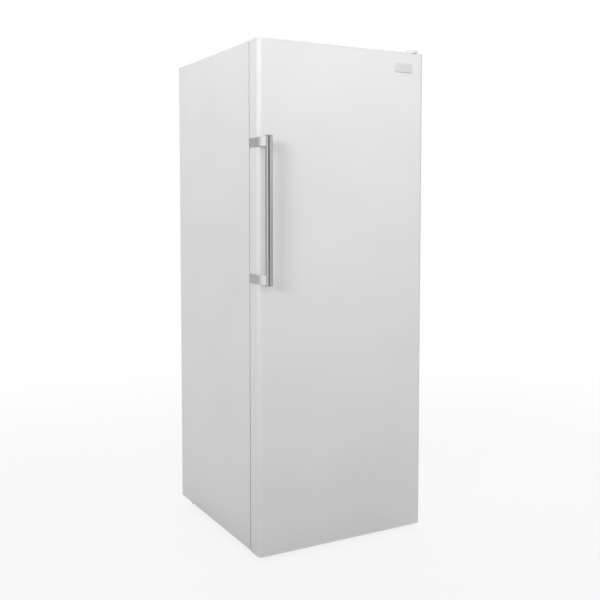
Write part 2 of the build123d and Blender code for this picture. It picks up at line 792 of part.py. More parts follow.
def bin_form():
    """One door bin at height zero, hung by notched hooks at both ends."""
    with BuildPart() as form:
        for inset, mode in ((0, Mode.ADD), (bin_wall, Mode.SUBTRACT)):
            with BuildSketch(Plane.XY.offset(inset)) as outline:
                with Locations((0, (bin_back + bin_front) / 2)):
                    Rectangle(2 * (bin_half - inset), bin_front - bin_back - 2 * inset)
                fillet(outline.vertices().group_by(Axis.Y)[-1], bin_corner - inset)
            extrude(outline.sketch, amount=bin_height - inset, mode=mode)
        for side in (-1, 1):
            x = sorted((side * (bin_half - bin_wall / 2), side * (dike_inner - hook_slack)))
            block(x, (hook_start, hook_start + hook_depth),
                  (bin_height - hook_height, bin_height))
            notch = sorted((side * bin_half, side * dike_inner))
            block(notch, (lug_front - hook_slack, lug_front + lug_depth + hook_slack),
                  (bin_height - hook_height, bin_height - hook_top), Mode.SUBTRACT)
    return form.part


bin_template = bin_form()
for number, floor in enumerate(bin_floors, start=1):
    with BuildPart() as door_bin:
        add(bin_template.moved(Location((0, 0, floor))))
    door_bin.part.label = f"door_bin_{number}"
    export_step(door_bin.part, f"parts/door_bin_{number}.step")

# ================= handle and plate =================

with BuildPart() as handle_bar:
    rod((bar_middle_x, bar_y, bar_low), (0, 0, 1), bar_radius, bar_length)
    chamfer(handle_bar.edges().filter_by(GeomType.CIRCLE), bar_chamfer)
handle_bar.part.label = "handle_bar"
export_step(handle_bar.part, "parts/handle_bar.step")


def handle_bracket(level):
    """Strap from the door's side, curving forward to a saddle on the bar."""
    bar_middle = Vector(bar_middle_x, bar_y)
    outer_tip = bar_middle + Vector(-bar_radius, 0).rotate(Axis.Z, saddle_front_angle)
    inner_tip = bar_middle + Vector(-bar_radius, 0).rotate(Axis.Z, -saddle_back_angle)
    outer_bend = (-half - strap, door_front + strap_bend)
    inner_bend = (-half, door_front + strap_bend)
    back = door_back - strap_back_margin
    with BuildPart() as bracket:
        with BuildSketch(Plane.XY.offset(level - bracket_height / 2)) as outline:
            with BuildLine():
                Line((-half - strap, back), outer_bend)
                TangentArc(outer_bend, outer_tip, tangent=(0, -1))
                Line(outer_tip, inner_tip)
                TangentArc(inner_bend, inner_tip, tangent=(0, -1))
                Line(inner_bend, (-half, back))
                Line((-half, back), (-half - strap, back))
            make_face()
            with Locations((bar_middle_x, bar_y)):
                Circle(bar_radius + rivet_clearance, mode=Mode.SUBTRACT)
        extrude(outline.sketch, amount=bracket_height)
        for y in handle_screw_ys:
            rod((-half, y, level), (-1, 0, 0), handle_screw_radius + rivet_clearance,
                screw_bite + seam, Mode.SUBTRACT)
    return bracket.part


with BuildPart() as handle_bracket_lower:
    add(handle_bracket(bracket_levels[0]))
handle_bracket_lower.part.label = "handle_bracket_lower"
export_step(handle_bracket_lower.part, "parts/handle_bracket_lower.step")

with BuildPart() as handle_bracket_upper:
    add(handle_bracket(bracket_levels[1]))
handle_bracket_upper.part.label = "handle_bracket_upper"
export_step(handle_bracket_upper.part, "parts/handle_bracket_upper.step")

with BuildPart() as handle_screws:
    for level in bracket_levels:
        for y in handle_screw_ys:
            rod((-half - screw_bite, y, level), (1, 0, 0), handle_screw_radius,
                screw_bite + sheet)
            rod((-inner_half, y, level), (1, 0, 0), screw_head_radius, screw_head)
handle_screws.part.label = "handle_screws"
export_step(handle_screws.part, "parts/handle_screws.step")

with BuildPart() as nameplate:
    block((half - plate_side_inset - plate_width, half - plate_side_inset),
          (door_front - plate_thickness, door_front),
          (door_top - plate_drop - plate_height, door_top - plate_drop))
    fillet(nameplate.edges().filter_by(Axis.Y), plate_corner)
    chamfer(nameplate.faces().sort_by(Axis.Y)[0].edges(), plate_chamfer)
nameplate.part.label = "nameplate"
export_step(nameplate.part, "parts/nameplate.step")

# ================= hinges =================

lap_y = cab_front + hinge_set_back + hinge_lap
with BuildPart() as hinge_bracket_top:
    block(upper_x, (cab_front + hinge_set_back, upper_y[1]), (cab_top, cab_top + hinge_plate))
    block(upper_x, (upper_y[0], lap_y),
          (cab_top + hinge_joggle, cab_top + hinge_joggle + hinge_plate))
    rod((pin_x, pin_y, cab_top), (0, 0, 1), pin_radius + rivet_clearance,
        hinge_joggle + hinge_plate, Mode.SUBTRACT)
    for x, y in upper_screws:
        rod((x, y, cab_top), (0, 0, 1), hinge_screw_radius + rivet_clearance, hinge_plate,
            Mode.SUBTRACT)
hinge_bracket_top.part.label = "hinge_bracket_top"
export_step(hinge_bracket_top.part, "parts/hinge_bracket_top.step")

with BuildPart() as hinge_pin_top:
    rod((pin_x, pin_y, door_top - pin_engagement), (0, 0, 1), pin_radius,
        pin_engagement + hinge_joggle + hinge_plate)
    rod((pin_x, pin_y, cab_top + hinge_joggle + hinge_plate), (0, 0, 1), pin_head_radius,
        pin_head)
hinge_pin_top.part.label = "hinge_pin_top"
export_step(hinge_pin_top.part, "parts/hinge_pin_top.step")

cover_grow = cover_slack + cover_wall
cover_x = (upper_x[0] - cover_grow, upper_x[1] + cover_grow)
cover_y = (upper_y[0] - cover_grow, upper_y[1] + cover_grow)
with BuildPart() as hinge_cover:
    block(cover_x, cover_y, (cab_top, cab_top + cover_height))
    fillet(hinge_cover.edges().filter_by(Axis.Z), cover_round)
    fillet(hinge_cover.edges().group_by(Axis.Z)[-1], cover_round / 2)
    block((upper_x[0] - cover_slack, upper_x[1] + cover_slack),
          (upper_y[0] - cover_slack, upper_y[1] + cover_slack),
          (cab_top, cab_top + cover_height - cover_wall), Mode.SUBTRACT)
    block(cover_x, (cover_y[0], cab_front), (cab_top, cab_top + cover_door_gap), Mode.SUBTRACT)
hinge_cover.part.label = "hinge_cover"
export_step(hinge_cover.part, "parts/hinge_cover.step")

lower_top = door_bottom - lower_drop
with BuildPart() as hinge_bracket_bottom:
    block(lower_x, (cab_front + hinge_set_back, lower_y[1]),
          (cab_bottom - lower_plate, cab_bottom))
    block(lower_x, (lower_y[0], lap_y), (lower_top - lower_plate, lower_top))
    rod((pin_x, pin_y, lower_top - lower_plate), (0, 0, 1), pin_radius + rivet_clearance,
        lower_plate, Mode.SUBTRACT)
    rod((foot_x, foot_y, cab_bottom - lower_plate), (0, 0, 1),
        foot_stem_radius + pin_clearance, lower_plate, Mode.SUBTRACT)
    for x, y in lower_screws:
        if x > 0:
            rod((x, y, cab_bottom - lower_plate), (0, 0, 1),
                hinge_screw_radius + rivet_clearance, lower_plate, Mode.SUBTRACT)
hinge_bracket_bottom.part.label = "hinge_bracket_bottom"
export_step(hinge_bracket_bottom.part, "parts/hinge_bracket_bottom.step")

with BuildPart() as hinge_pin_bottom:
    rod((pin_x, pin_y, lower_top - lower_plate), (0, 0, 1), pin_radius,
        lower_plate + lower_drop + pin_engagement)
    rod((pin_x, pin_y, lower_top - lower_plate), (0, 0, -1), pin_head_radius, pin_head)
hinge_pin_bottom.part.label = "hinge_pin_bottom"
export_step(hinge_pin_bottom.part, "parts/hinge_pin_bottom.step")

with BuildPart() as foot_bracket:
    block((-lower_x[1], -lower_x[0]), (cab_front + hinge_set_back, lower_y[1]),
          (cab_bottom - lower_plate, cab_bottom))
    rod((-foot_x, foot_y, cab_bottom - lower_plate), (0, 0, 1),
        foot_stem_radius + pin_clearance, lower_plate, Mode.SUBTRACT)
    for x, y in lower_screws:
        if x < 0:
            rod((x, y, cab_bottom - lower_plate), (0, 0, 1),
                hinge_screw_radius + rivet_clearance, lower_plate, Mode.SUBTRACT)
foot_bracket.part.label = "foot_bracket"
export_step(foot_bracket.part, "parts/foot_bracket.step")

with BuildPart() as hinge_screws:
    for x, y in upper_screws:
        rod((x, y, cab_top + hinge_plate), (0, 0, -1), hinge_screw_radius, hinge_screw_length)
        rod((x, y, cab_top + hinge_plate), (0, 0, 1), screw_head_radius, screw_head)
    for x, y in lower_screws:
        rod((x, y, cab_bottom - lower_plate), (0, 0, 1), hinge_screw_radius,
            hinge_screw_length)
        rod((x, y, cab_bottom - lower_plate), (0, 0, -1), screw_head_radius, screw_head)
hinge_screws.part.label = "hinge_screws"
export_step(hinge_screws.part, "parts/hinge_screws.step")

# ================= feet and rollers =================

for name, side in (("left", -1), ("right", 1)):
    with BuildPart() as foot:
        rod((side * foot_x, foot_y, 0), (0, 0, 1), foot_pad_radius, foot_pad)
        chamfer(foot.edges().group_by(Axis.Z)[-1], foot_pad_chamfer)
        rod((side * foot_x, foot_y, foot_pad), (0, 0, 1), foot_stem_radius,
            foot_stem_top - foot_pad)
    foot.part.label = f"foot_{name}"
    export_step(foot.part, f"parts/foot_{name}.step")

    with BuildPart() as roller:
        rod((side * roller_x - roller_width / 2, roller_y, roller_radius), (1, 0, 0),
            roller_radius, roller_width)
        chamfer(roller.edges().filter_by(GeomType.CIRCLE), roller_chamfer)
        rod((side * roller_x - roller_width / 2, roller_y, roller_radius), (1, 0, 0),
            axle_radius + pin_clearance, roller_width, Mode.SUBTRACT)
    roller.part.label = f"roller_{name}"
    export_step(roller.part, f"parts/roller_{name}.step")

axle_half = roller_width / 2 + roller_side_gap + ear_thickness
with BuildPart() as roller_axles:
    for side in (-1, 1):
        rod((side * roller_x - axle_half, roller_y, roller_radius), (1, 0, 0), axle_radius,
            2 * axle_half)
        for end in (-1, 1):
            rod((side * roller_x + end * axle_half, roller_y, roller_radius), (end, 0, 0),
                axle_head_radius, axle_head)
roller_axles.part.label = "roller_axles"
export_step(roller_axles.part, "parts/roller_axles.step")

# ================= machine recess =================

rail_top = rail_height + rail_sheet
with BuildPart() as compressor_rail:
    block((-inner_half, inner_half), (rail_front, rail_back), (rail_height, rail_top))
    for side in (-1, 1):
        block(sorted((side * inner_half, side * (inner_half - rail_sheet))),
              (rail_front, rail_back), (rail_height, rail_height + rail_flange))
        for end in (-1, 1):
            ear = side * roller_x + end * (axle_half - ear_thickness / 2)
            block((ear - ear_thickness / 2, ear + ear_thickness / 2),
                  (roller_y - ear_half, roller_y + ear_half),
                  (roller_radius - ear_drop, rail_top))
        rod((side * roller_x - axle_half, roller_y, roller_radius), (1, 0, 0),
            axle_radius + rivet_clearance, 2 * axle_half, Mode.SUBTRACT)
    block((cord_gland_x - tab_half, cord_gland_x + tab_half),
          (rail_back - tab_sheet, rail_back), (rail_height, tab_top))
    rod((cord_gland_x, rail_back - tab_sheet, gland_height), (0, 1, 0),
        gland_neck + rivet_clearance, tab_sheet, Mode.SUBTRACT)
compressor_rail.part.label = "compressor_rail"
export_step(compressor_rail.part, "parts/compressor_rail.step")

with BuildPart() as cord_gland:
    for face, way in ((rail_back, 1), (rail_back - tab_sheet, -1)):
        rod((cord_gland_x, face, gland_height), (0, way, 0), gland_radius, gland_flange)
    rod((cord_gland_x, rail_back - tab_sheet, gland_height), (0, 1, 0), gland_neck, tab_sheet)
    rod((cord_gland_x, rail_back - tab_sheet - gland_flange, gland_height), (0, 1, 0),
        gland_bore, tab_sheet + 2 * gland_flange, Mode.SUBTRACT)
cord_gland.part.label = "cord_gland"
export_step(cord_gland.part, "parts/cord_gland.step")

grommet_spots = [(compressor_x + sx * foot_hole_span[0] / 2,
                  compressor_y + sy * foot_hole_span[1] / 2)
                 for sx in (-1, 1) for sy in (-1, 1)]
with BuildPart() as compressor_grommets:
    for x, y in grommet_spots:
        rod((x, y, rail_top), (0, 0, 1), grommet_radius, grommet_height)
        rod((x, y, compressor_bottom), (0, 0, 1), grommet_neck, compressor_foot[2])
        rod((x, y, rail_top), (0, 0, 1), grommet_bore, grommet_height + compressor_foot[2],
            Mode.SUBTRACT)
compressor_grommets.part.label = "compressor_grommets"
export_step(compressor_grommets.part, "parts/compressor_grommets.step")

seam_height = compressor_bottom + compressor_height / 2
with BuildPart() as compressor_body:
    rod((compressor_x, compressor_y, compressor_bottom), (0, 0, 1), compressor_radius,
        compressor_height)
    fillet(compressor_body.edges().filter_by(GeomType.CIRCLE), compressor_round)
    rod((compressor_x, compressor_y, seam_height - seam_ring_height / 2), (0, 0, 1),
        compressor_radius + seam_ring, seam_ring_height)
    block((compressor_x - compressor_foot[0] / 2, compressor_x + compressor_foot[0] / 2),
          (compressor_y - compressor_foot[1] / 2, compressor_y + compressor_foot[1] / 2),
          (compressor_bottom, compressor_bottom + compressor_foot[2]))
    for x, y in grommet_spots:
        rod((x, y, compressor_bottom), (0, 0, 1), grommet_neck + rivet_clearance,
            compressor_foot[2], Mode.SUBTRACT)
compressor_body.part.label = "compressor_body"
export_step(compressor_body.part, "parts/compressor_body.step")

relay_low = compressor_bottom + compressor_foot[2] + relay_rise
with BuildPart() as relay_cover:
    block((compressor_x - compressor_radius - relay_size[0], compressor_x - compressor_radius
           + relay_bite), (compressor_y - relay_size[1] / 2, compressor_y + relay_size[1] / 2),
          (relay_low, relay_low + relay_size[2]))
    fillet(relay_cover.edges().group_by(Axis.X)[0], relay_round)
    add(compressor_body.part, mode=Mode.SUBTRACT)
relay_cover.part.label = "relay_cover"
export_step(relay_cover.part, "parts/relay_cover.step")

with BuildPart() as suction_tube:
    start_x = compressor_x + compressor_radius + pipe_gap
    bent_tube([(start_x, compressor_y, suction_height),
               (start_x + suction_reach, compressor_y, suction_height),
               (start_x + suction_reach, compressor_y, recess_top - base_sheet - pipe_gap)],
              pipe_bend, suction_radius)
suction_tube.part.label = "suction_tube"
export_step(suction_tube.part, "parts/suction_tube.step")

with BuildPart() as discharge_tube:
    start_x = compressor_x - compressor_radius - pipe_gap
    bent_tube([(start_x, compressor_y, discharge_height),
               (start_x - discharge_reach, compressor_y, discharge_height),
               (start_x - discharge_reach, coil_y, discharge_height),
               (discharge_x, coil_y, discharge_height),
               (discharge_x, coil_y, coil_bottom),
               (coil_half + pipe_gap, coil_y, coil_bottom)],
              pipe_bend, coil_tube_radius)
discharge_tube.part.label = "discharge_tube"
export_step(discharge_tube.part, "parts/discharge_tube.step")

# ================= condenser on the back =================

coil_wire_y = coil_y + coil_tube_radius + coil_wire_radius - weld_sink
with BuildPart() as condenser_coil:
    swept_round(serpentine(Plane(origin=(0, coil_y, coil_bottom), x_dir=(1, 0, 0),
                                 z_dir=(0, -1, 0)),
                           coil_passes, coil_pitch, coil_half, 0), coil_tube_radius)
    bent_tube([(-coil_half, coil_y, coil_top), (-coil_leg_x, coil_y, coil_top),
               (-coil_leg_x, coil_y, coil_leg_bottom)], coil_bend, coil_tube_radius)
    with BuildSketch(Plane.XY.offset(coil_bottom - coil_wire_over)) as wires:
        with Locations((0, coil_wire_y)):
            with GridLocations(coil_wire_pitch, 1, coil_wire_count, 1):
                Circle(coil_wire_radius)
    extrude(wires.sketch, amount=coil_top - coil_bottom + 2 * coil_wire_over)
condenser_coil.part.label = "condenser_coil"
export_step(condenser_coil.part, "parts/condenser_coil.step")

with BuildPart() as condenser_brackets:
    for level in (coil_bottom + coil_bracket_pass * coil_pitch,
                  coil_top - coil_bracket_pass * coil_pitch):
        for side in (-1, 1):
            x = side * coil_bracket_x
            block((x - coil_bracket[0] / 2, x + coil_bracket[0] / 2),
                  (cab_back, coil_y - coil_tube_radius - pipe_gap),
                  (level - coil_bracket[1] / 2, level + coil_bracket[1] / 2))
condenser_brackets.part.label = "condenser_brackets"
export_step(condenser_brackets.part, "parts/condenser_brackets.step")

drier_top = coil_leg_bottom - pipe_gap
drier_bottom = drier_top - drier_length
with BuildPart() as filter_drier:
    rod((-coil_leg_x, coil_y, drier_bottom), (0, 0, 1), drier_radius, drier_length)
    chamfer(filter_drier.edges().filter_by(GeomType.CIRCLE), drier_radius - drier_neck)
filter_drier.part.label = "filter_drier"
export_step(filter_drier.part, "parts/filter_drier.step")

with BuildPart() as capillary_tube:
    bent_tube([(-coil_leg_x, coil_y, drier_bottom - pipe_gap),
               (-coil_leg_x, coil_y, drier_bottom - capillary_drop),
               (-coil_leg_x, cab_back - capillary_inset, drier_bottom - capillary_drop),
               (-coil_leg_x, cab_back - capillary_inset, recess_top - base_sheet - pipe_gap)],
              coil_bend, capillary_radius)
capillary_tube.part.label = "capillary_tube"
export_step(capillary_tube.part, "parts/capillary_tube.step")

with BuildPart() as drain_tube:
    drain_low = cab_bottom - drain_below
    drain_length = cavity_bottom - liner_wall - drain_low
    rod((0, drain_y, drain_low), (0, 0, 1), drain_radius, drain_length)
    rod((0, drain_y, drain_low), (0, 0, 1), drain_radius - drain_wall, drain_length,
        Mode.SUBTRACT)
drain_tube.part.label = "drain_tube"
export_step(drain_tube.part, "parts/drain_tube.step")

with BuildPart() as wall_spacers:
    for side in (-1, 1):
        block((side * spacer_x - spacer_size[0] / 2, side * spacer_x + spacer_size[0] / 2),
              (cab_back, cab_back + rear_standoff),
              (cab_top - spacer_drop - spacer_size[1], cab_top - spacer_drop))
    chamfer(wall_spacers.edges().group_by(Axis.Y)[-1], spacer_chamfer)
wall_spacers.part.label = "wall_spacers"
export_step(wall_spacers.part, "parts/wall_spacers.step")

print("overall depth", overall_depth, "cabinet front", cab_front, "pin", pin_x, pin_y)
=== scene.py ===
import json
import math
import bpy
import bmesh
from mathutils import Matrix, Vector


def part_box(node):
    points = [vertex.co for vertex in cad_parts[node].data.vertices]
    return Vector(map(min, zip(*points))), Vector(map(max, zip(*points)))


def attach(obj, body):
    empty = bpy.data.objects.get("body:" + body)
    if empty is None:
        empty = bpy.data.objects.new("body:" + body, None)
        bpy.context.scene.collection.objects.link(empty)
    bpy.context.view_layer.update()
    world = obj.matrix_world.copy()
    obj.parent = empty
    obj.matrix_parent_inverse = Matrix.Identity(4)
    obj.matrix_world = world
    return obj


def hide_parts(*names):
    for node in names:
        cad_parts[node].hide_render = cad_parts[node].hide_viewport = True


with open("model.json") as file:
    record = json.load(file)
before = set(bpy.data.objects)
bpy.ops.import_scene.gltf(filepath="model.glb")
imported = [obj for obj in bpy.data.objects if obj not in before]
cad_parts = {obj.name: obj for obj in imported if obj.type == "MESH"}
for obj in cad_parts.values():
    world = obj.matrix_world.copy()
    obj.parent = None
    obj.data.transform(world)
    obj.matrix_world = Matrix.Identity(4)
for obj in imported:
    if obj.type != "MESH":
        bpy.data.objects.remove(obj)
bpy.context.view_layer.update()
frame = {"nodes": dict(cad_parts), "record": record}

# Looks of an upright freezer: white enamel, a satin bar handle, a working inside and back.
# Lengths are metres, so a size written as 3 * mm is three millimetres.

mm = 0.001
bodyOf = {node: body for body, members in frame["record"]["behaviour"]["bodies"].items()
          for node in members}
slotOf = {part["node"]: part["material_slot"] for part in frame["record"]["subparts"]}


class Wire:
    # a socket of a node tree that can stand in a sum
    def __init__(self, graph, socket):
        self.graph, self.socket = graph, socket

    def __add__(self, other):
        return self.graph.maths("ADD", self, other)

    def __radd__(self, other):
        return self.graph.maths("ADD", other, self)

    def __sub__(self, other):
        return self.graph.maths("SUBTRACT", self, other)

    def __rsub__(self, other):
        return self.graph.maths("SUBTRACT", other, self)

    def __mul__(self, other):
        return self.graph.maths("MULTIPLY", self, other)

    def __rmul__(self, other):
        return self.graph.maths("MULTIPLY", other, self)


class Graph:
    # builds nodes in one tree, for materials, the world and geometry alike
    def __init__(self, tree):
        self.tree = tree

    def node(self, kind, settings=None, sockets=None, output=0):
        made = self.tree.nodes.new(kind)
        for key, value in (settings or {}).items():
            if key == "stops":
                self.fillRamp(made.color_ramp, value)
            else:
                setattr(made, key, value)
        for key, value in (sockets or {}).items():
            if isinstance(value, Wire):
                self.tree.links.new(value.socket, made.inputs[key])
            else:
                made.inputs[key].default_value = value
        return Wire(self, made.outputs[output]) if made.outputs else made

    def fillRamp(self, ramp, stops):
        while len(ramp.elements) > 1:
            ramp.elements.remove(ramp.elements[-1])
        for index, (position, level) in enumerate(stops):
            element = ramp.elements[0] if index == 0 else ramp.elements.new(position)
            element.position = position
            element.color = (level, level, level, 1)

    def maths(self, operation, first, second=0.0):
        return self.node("ShaderNodeMath", {"operation": operation}, {0: first, 1: second})

    def noise(self, place, scale, detail=2.0, roughness=0.5):
        return self.node("ShaderNodeTexNoise", None, {"Vector": place, "Scale": scale,
                                                      "Detail": detail, "Roughness": roughness})

    def cells(self, place, scale, output=0):
        return self.node("ShaderNodeTexVoronoi", None, {"Vector": place, "Scale": scale}, output)

    def stretched(self, place, scale):
        return self.node("ShaderNodeMapping", None, {"Vector": place, "Scale": scale})

    def step(self, value, low, high, start=0.0, end=1.0):
        return self.node("ShaderNodeMapRange", {"interpolation_type": "SMOOTHSTEP"},
                         {"Value": value, "From Min": low, "From Max": high,
                          "To Min": start, "To Max": end})

    def paint(self, factor, first, second):
        return self.node("ShaderNodeMix", {"data_type": "RGBA"},
                         {0: factor, 6: colour(first), 7: colour(second)}, 2)

    def part(self, vector, axis):
        return self.node("ShaderNodeSeparateXYZ", None, {0: vector}, "XYZ".index(axis))


def colour(value):
    return value if isinstance(value, Wire) else (*value, 1.0)


class Finish(Graph):
    # one material: a Principled shader and what varies over its surface
    def __init__(self, name, **settings):
        self.material = bpy.data.materials.new(name)
        self.material.use_nodes = True
        super().__init__(self.material.node_tree)
        self.tree.nodes.clear()
        self.shader = self.tree.nodes.new("ShaderNodeBsdfPrincipled")
        output = self.tree.nodes.new("ShaderNodeOutputMaterial")
        self.tree.links.new(self.shader.outputs[0], output.inputs["Surface"])
        self.place = self.node("ShaderNodeTexCoord", output="Object")
        for key, value in settings.items():
            self.feed(key.replace("_", " "), value)

    def feed(self, key, value):
        if isinstance(value, Wire):
            self.tree.links.new(value.socket, self.shader.inputs[key])
        else:
            self.shader.inputs[key].default_value = value

    def relief(self, *layers):
        # layers of (height, depth in metres), the coarsest first
        normal = None
        for height, depth in layers:
            sockets = {"Height": height, "Distance": depth, "Strength": 1.0}
            if normal:
                sockets["Normal"] = normal
            normal = self.node("ShaderNodeBump", None, sockets)
        self.feed("Normal", normal)


# finishes: lengths in a look are metres, tints are linear

enamelLook = {"white": (0.815, 0.820, 0.820), "shade": (0.775, 0.780, 0.775),
              "dust": (0.66, 0.65, 0.62), "gloss": 0.17, "smear": 0.05, "peel": 420,
              "peelDepth": 0.010 * mm, "waveDepth": 0.30 * mm, "dustTop": 0.11}


def makeEnamel(name, look):
    # sprayed gloss enamel: orange peel, long waves of thin sheet, smears, dust low down
    coat = Finish(name, IOR=1.5)
    place = coat.place
    tone = coat.step(coat.noise(place, 1.7, 3.0), 0.35, 0.68)
    low = coat.step(coat.part(place, "Z"), 0.0, look["dustTop"], 1.0, 0.0)
    specks = coat.step(coat.noise(place, 900, 3.0, 0.6), 0.60, 0.74)
    dust = low * (0.08 + specks * 0.35)
    coat.feed("Base Color", coat.paint(dust, coat.paint(tone, look["white"], look["shade"]),
                                       look["dust"]))
    smear = coat.noise(coat.stretched(place, (7, 7, 3)), 1.0, 5.0, 0.62)
    wiped = coat.noise(coat.stretched(place, (26, 26, 5)), 1.0, 3.0, 0.5)
    coat.feed("Roughness", look["gloss"] + coat.step(smear, 0.25, 0.85) * look["smear"]
              + wiped * 0.05 + dust * 0.25)
    coat.relief((coat.noise(place, 2.6, 1.0), look["waveDepth"]),
                (coat.noise(place, look["peel"], 2.0, 0.45), look["peelDepth"]))
    return coat.material


def makeBrushed(name, tint, worn, grain, rough, metallic=1.0, pale=None, depth=0.006 * mm):
    # brushed metal: grain drawn out along one axis, handled patches, pits; a painted highlight in
    # front
    metal = Finish(name, Metallic=metallic)
    lines = metal.noise(metal.stretched(metal.place, grain), 1.0, 4.0, 0.6)
    patches = metal.step(metal.noise(metal.place, 22, 4.0, 0.6), 0.45, 0.72)
    pits = metal.step(metal.noise(metal.place, 1500, 2.0), 0.66, 0.78)
    metal.feed("Base Color", metal.paint(lines * 0.30 + patches * 0.2 + pits * 0.3, tint, worn))
    metal.feed("Roughness", rough + lines * 0.10 + patches * 0.07)
    if pale:
        # painted highlight: the forward part loses most of its metal, so it shows pale as if lit
        front = metal.step(metal.part(metal.place, "Y"), pale[0], pale[1], 1.0, 0.0)
        metal.feed("Metallic", metallic - front * 0.75)
    metal.relief((lines, depth), (pits, 0.004 * mm))
    return metal.material


def makeZinc(name, tint, dull):
    # galvanised sheet: spangle flakes, white bloom, drawn streaks
    sheet = Finish(name)
    flake = sheet.part(sheet.cells(sheet.place, 75, 1), "X")
    bloom = sheet.step(sheet.noise(sheet.place, 9, 5.0, 0.65), 0.50, 0.78)
    streak = sheet.noise(sheet.stretched(sheet.place, (40, 40, 4)), 1.0, 3.0)
    sheet.feed("Base Color", sheet.paint(bloom * 0.6 + streak * 0.15,
                                         sheet.paint(flake, tint, dull), (0.66, 0.67, 0.66)))
    sheet.feed("Metallic", 0.95 - bloom * 0.35)
    sheet.feed("Roughness", 0.30 + flake * 0.16 + bloom * 0.22)
    sheet.relief((flake, 0.010 * mm), (streak, 0.006 * mm))
    return sheet.material


def makeCopper(name, tint):
    # drawn copper tube: brown oxide, brighter rubbed places, flux marks
    tube = Finish(name)
    oxide = tube.step(tube.noise(tube.place, 42, 5.0, 0.65), 0.38, 0.68)
    flux = tube.step(tube.noise(tube.place, 160, 3.0), 0.66, 0.76)
    tube.feed("Base Color", tube.paint(flux * 0.5, tube.paint(oxide, tint, (0.30, 0.15, 0.10)),
                                       (0.30, 0.42, 0.36)))
    tube.feed("Metallic", 1.0 - flux * 0.6)
    tube.feed("Roughness", 0.24 + oxide * 0.24 + flux * 0.2)
    tube.relief((tube.noise(tube.place, 300, 3.0), 0.02 * mm))
    return tube.material


def makeMoulded(name, tint, worn, rough, grain=900, depth=0.02 * mm, **settings):
    # moulded plastic: fine spark texture, flow marks, a little grime and rubbing
    plastic = Finish(name, **settings)
    texture = plastic.noise(plastic.place, grain, 3.0, 0.6)
    flow = plastic.noise(plastic.stretched(plastic.place, (9, 9, 14)), 1.0, 4.0, 0.6)
    grime = plastic.step(plastic.noise(plastic.place, 70, 5.0, 0.7), 0.55, 0.80)
    plastic.feed("Base Color", plastic.paint(flow * 0.25 + grime * 0.35 + texture * 0.08,
                                             tint, worn))
    plastic.feed("Roughness", rough + texture * 0.10 + flow * 0.06 + grime * 0.08)
    plastic.relief((flow, 0.05 * mm), (texture, depth))
    return plastic.material


def makeBlackEnamel(name):
    # dipped black paint: runs, grey dust, a few rubbed spots
    paint = Finish(name, IOR=1.5)
    dust = paint.step(paint.noise(paint.place, 14, 5.0, 0.65), 0.42, 0.75)
    runs = paint.noise(paint.stretched(paint.place, (60, 60, 9)), 1.0, 3.0)
    rubbed = paint.step(paint.noise(paint.place, 190, 4.0), 0.68, 0.76)
    paint.feed("Base Color", paint.paint(rubbed * 0.5, paint.paint(
        dust * 0.5, (0.018, 0.018, 0.019), (0.16, 0.15, 0.14)), (0.30, 0.30, 0.30)))
    paint.feed("Roughness", 0.26 + dust * 0.34 + runs * 0.08)
    paint.relief((runs, 0.08 * mm), (paint.noise(paint.place, 520, 2.0), 0.02 * mm))
    return paint.material


def makeFoam(name):
    # poured rigid foam: fine cells, brown skin where it met the sheet
    foam = Finish(name)
    bubbles = foam.cells(foam.place, 850)
    skin = foam.step(foam.noise(foam.place, 18, 4.0), 0.40, 0.70)
    foam.feed("Base Color", foam.paint(bubbles * 0.5, foam.paint(
        skin, (0.80, 0.70, 0.44), (0.70, 0.56, 0.30)), (0.52, 0.40, 0.20)))
    foam.feed("Roughness", 0.78 + skin * 0.12)
    foam.relief((skin, 0.3 * mm), (bubbles, 0.25 * mm))
    return foam.material


enamel = makeEnamel("whiteEnamel", enamelLook)
barSatin = makeBrushed("barSatin", (0.64, 0.64, 0.64), (0.50, 0.50, 0.50), (1600, 1600, 14), 0.12)
# the bracket's forward part carries a painted highlight
bracketSatin = makeBrushed("bracketSatin", (0.88, 0.89, 0.90), (0.80, 0.80, 0.81),
                           (60, 60, 1500), 0.18, pale=(-336 * mm, -305 * mm))
plateSatin = makeBrushed("plateSatin", (0.76, 0.76, 0.76), (0.68, 0.68, 0.68),
                         (18, 900, 1500), 0.30, metallic=0.3)
screwSteel = makeBrushed("screwSteel", (0.60, 0.61, 0.62), (0.34, 0.33, 0.31),
                         (500, 500, 500), 0.24)
zincSheet = makeZinc("zincSheet", (0.60, 0.61, 0.62), (0.47, 0.48, 0.49))
copper = makeCopper("copperTube", (0.74, 0.40, 0.26))
linerWhite = makeMoulded("linerWhite", (0.86, 0.87, 0.87), (0.78, 0.79, 0.78), 0.24,
                         grain=650, depth=0.012 * mm, IOR=1.52)
trimWhite = makeMoulded("trimWhite", (0.82, 0.825, 0.82), (0.74, 0.74, 0.72), 0.34)
shelfWhite = makeMoulded("shelfWhite", (0.84, 0.86, 0.87), (0.74, 0.76, 0.78), 0.26,
                         grain=1200, depth=0.03 * mm)
sealGrey = makeMoulded("sealGrey", (0.68, 0.68, 0.68), (0.60, 0.60, 0.59), 0.46, grain=1400)
greyMoulded = makeMoulded("greyMoulded", (0.20, 0.205, 0.21), (0.28, 0.28, 0.27), 0.48)
blackRubber = makeMoulded("blackRubber", (0.025, 0.025, 0.026), (0.07, 0.068, 0.065), 0.62)
dialInk = makeMoulded("dialInk", (0.10, 0.12, 0.16), (0.16, 0.18, 0.22), 0.45)
clearPlastic = makeMoulded("clearPlastic", (0.95, 0.97, 0.985), (0.90, 0.93, 0.95), 0.10,
                           grain=500, depth=0.01 * mm, IOR=1.49, Transmission_Weight=0.86)
blackEnamel = makeBlackEnamel("blackEnamel")
foamCells = makeFoam("foamCells")
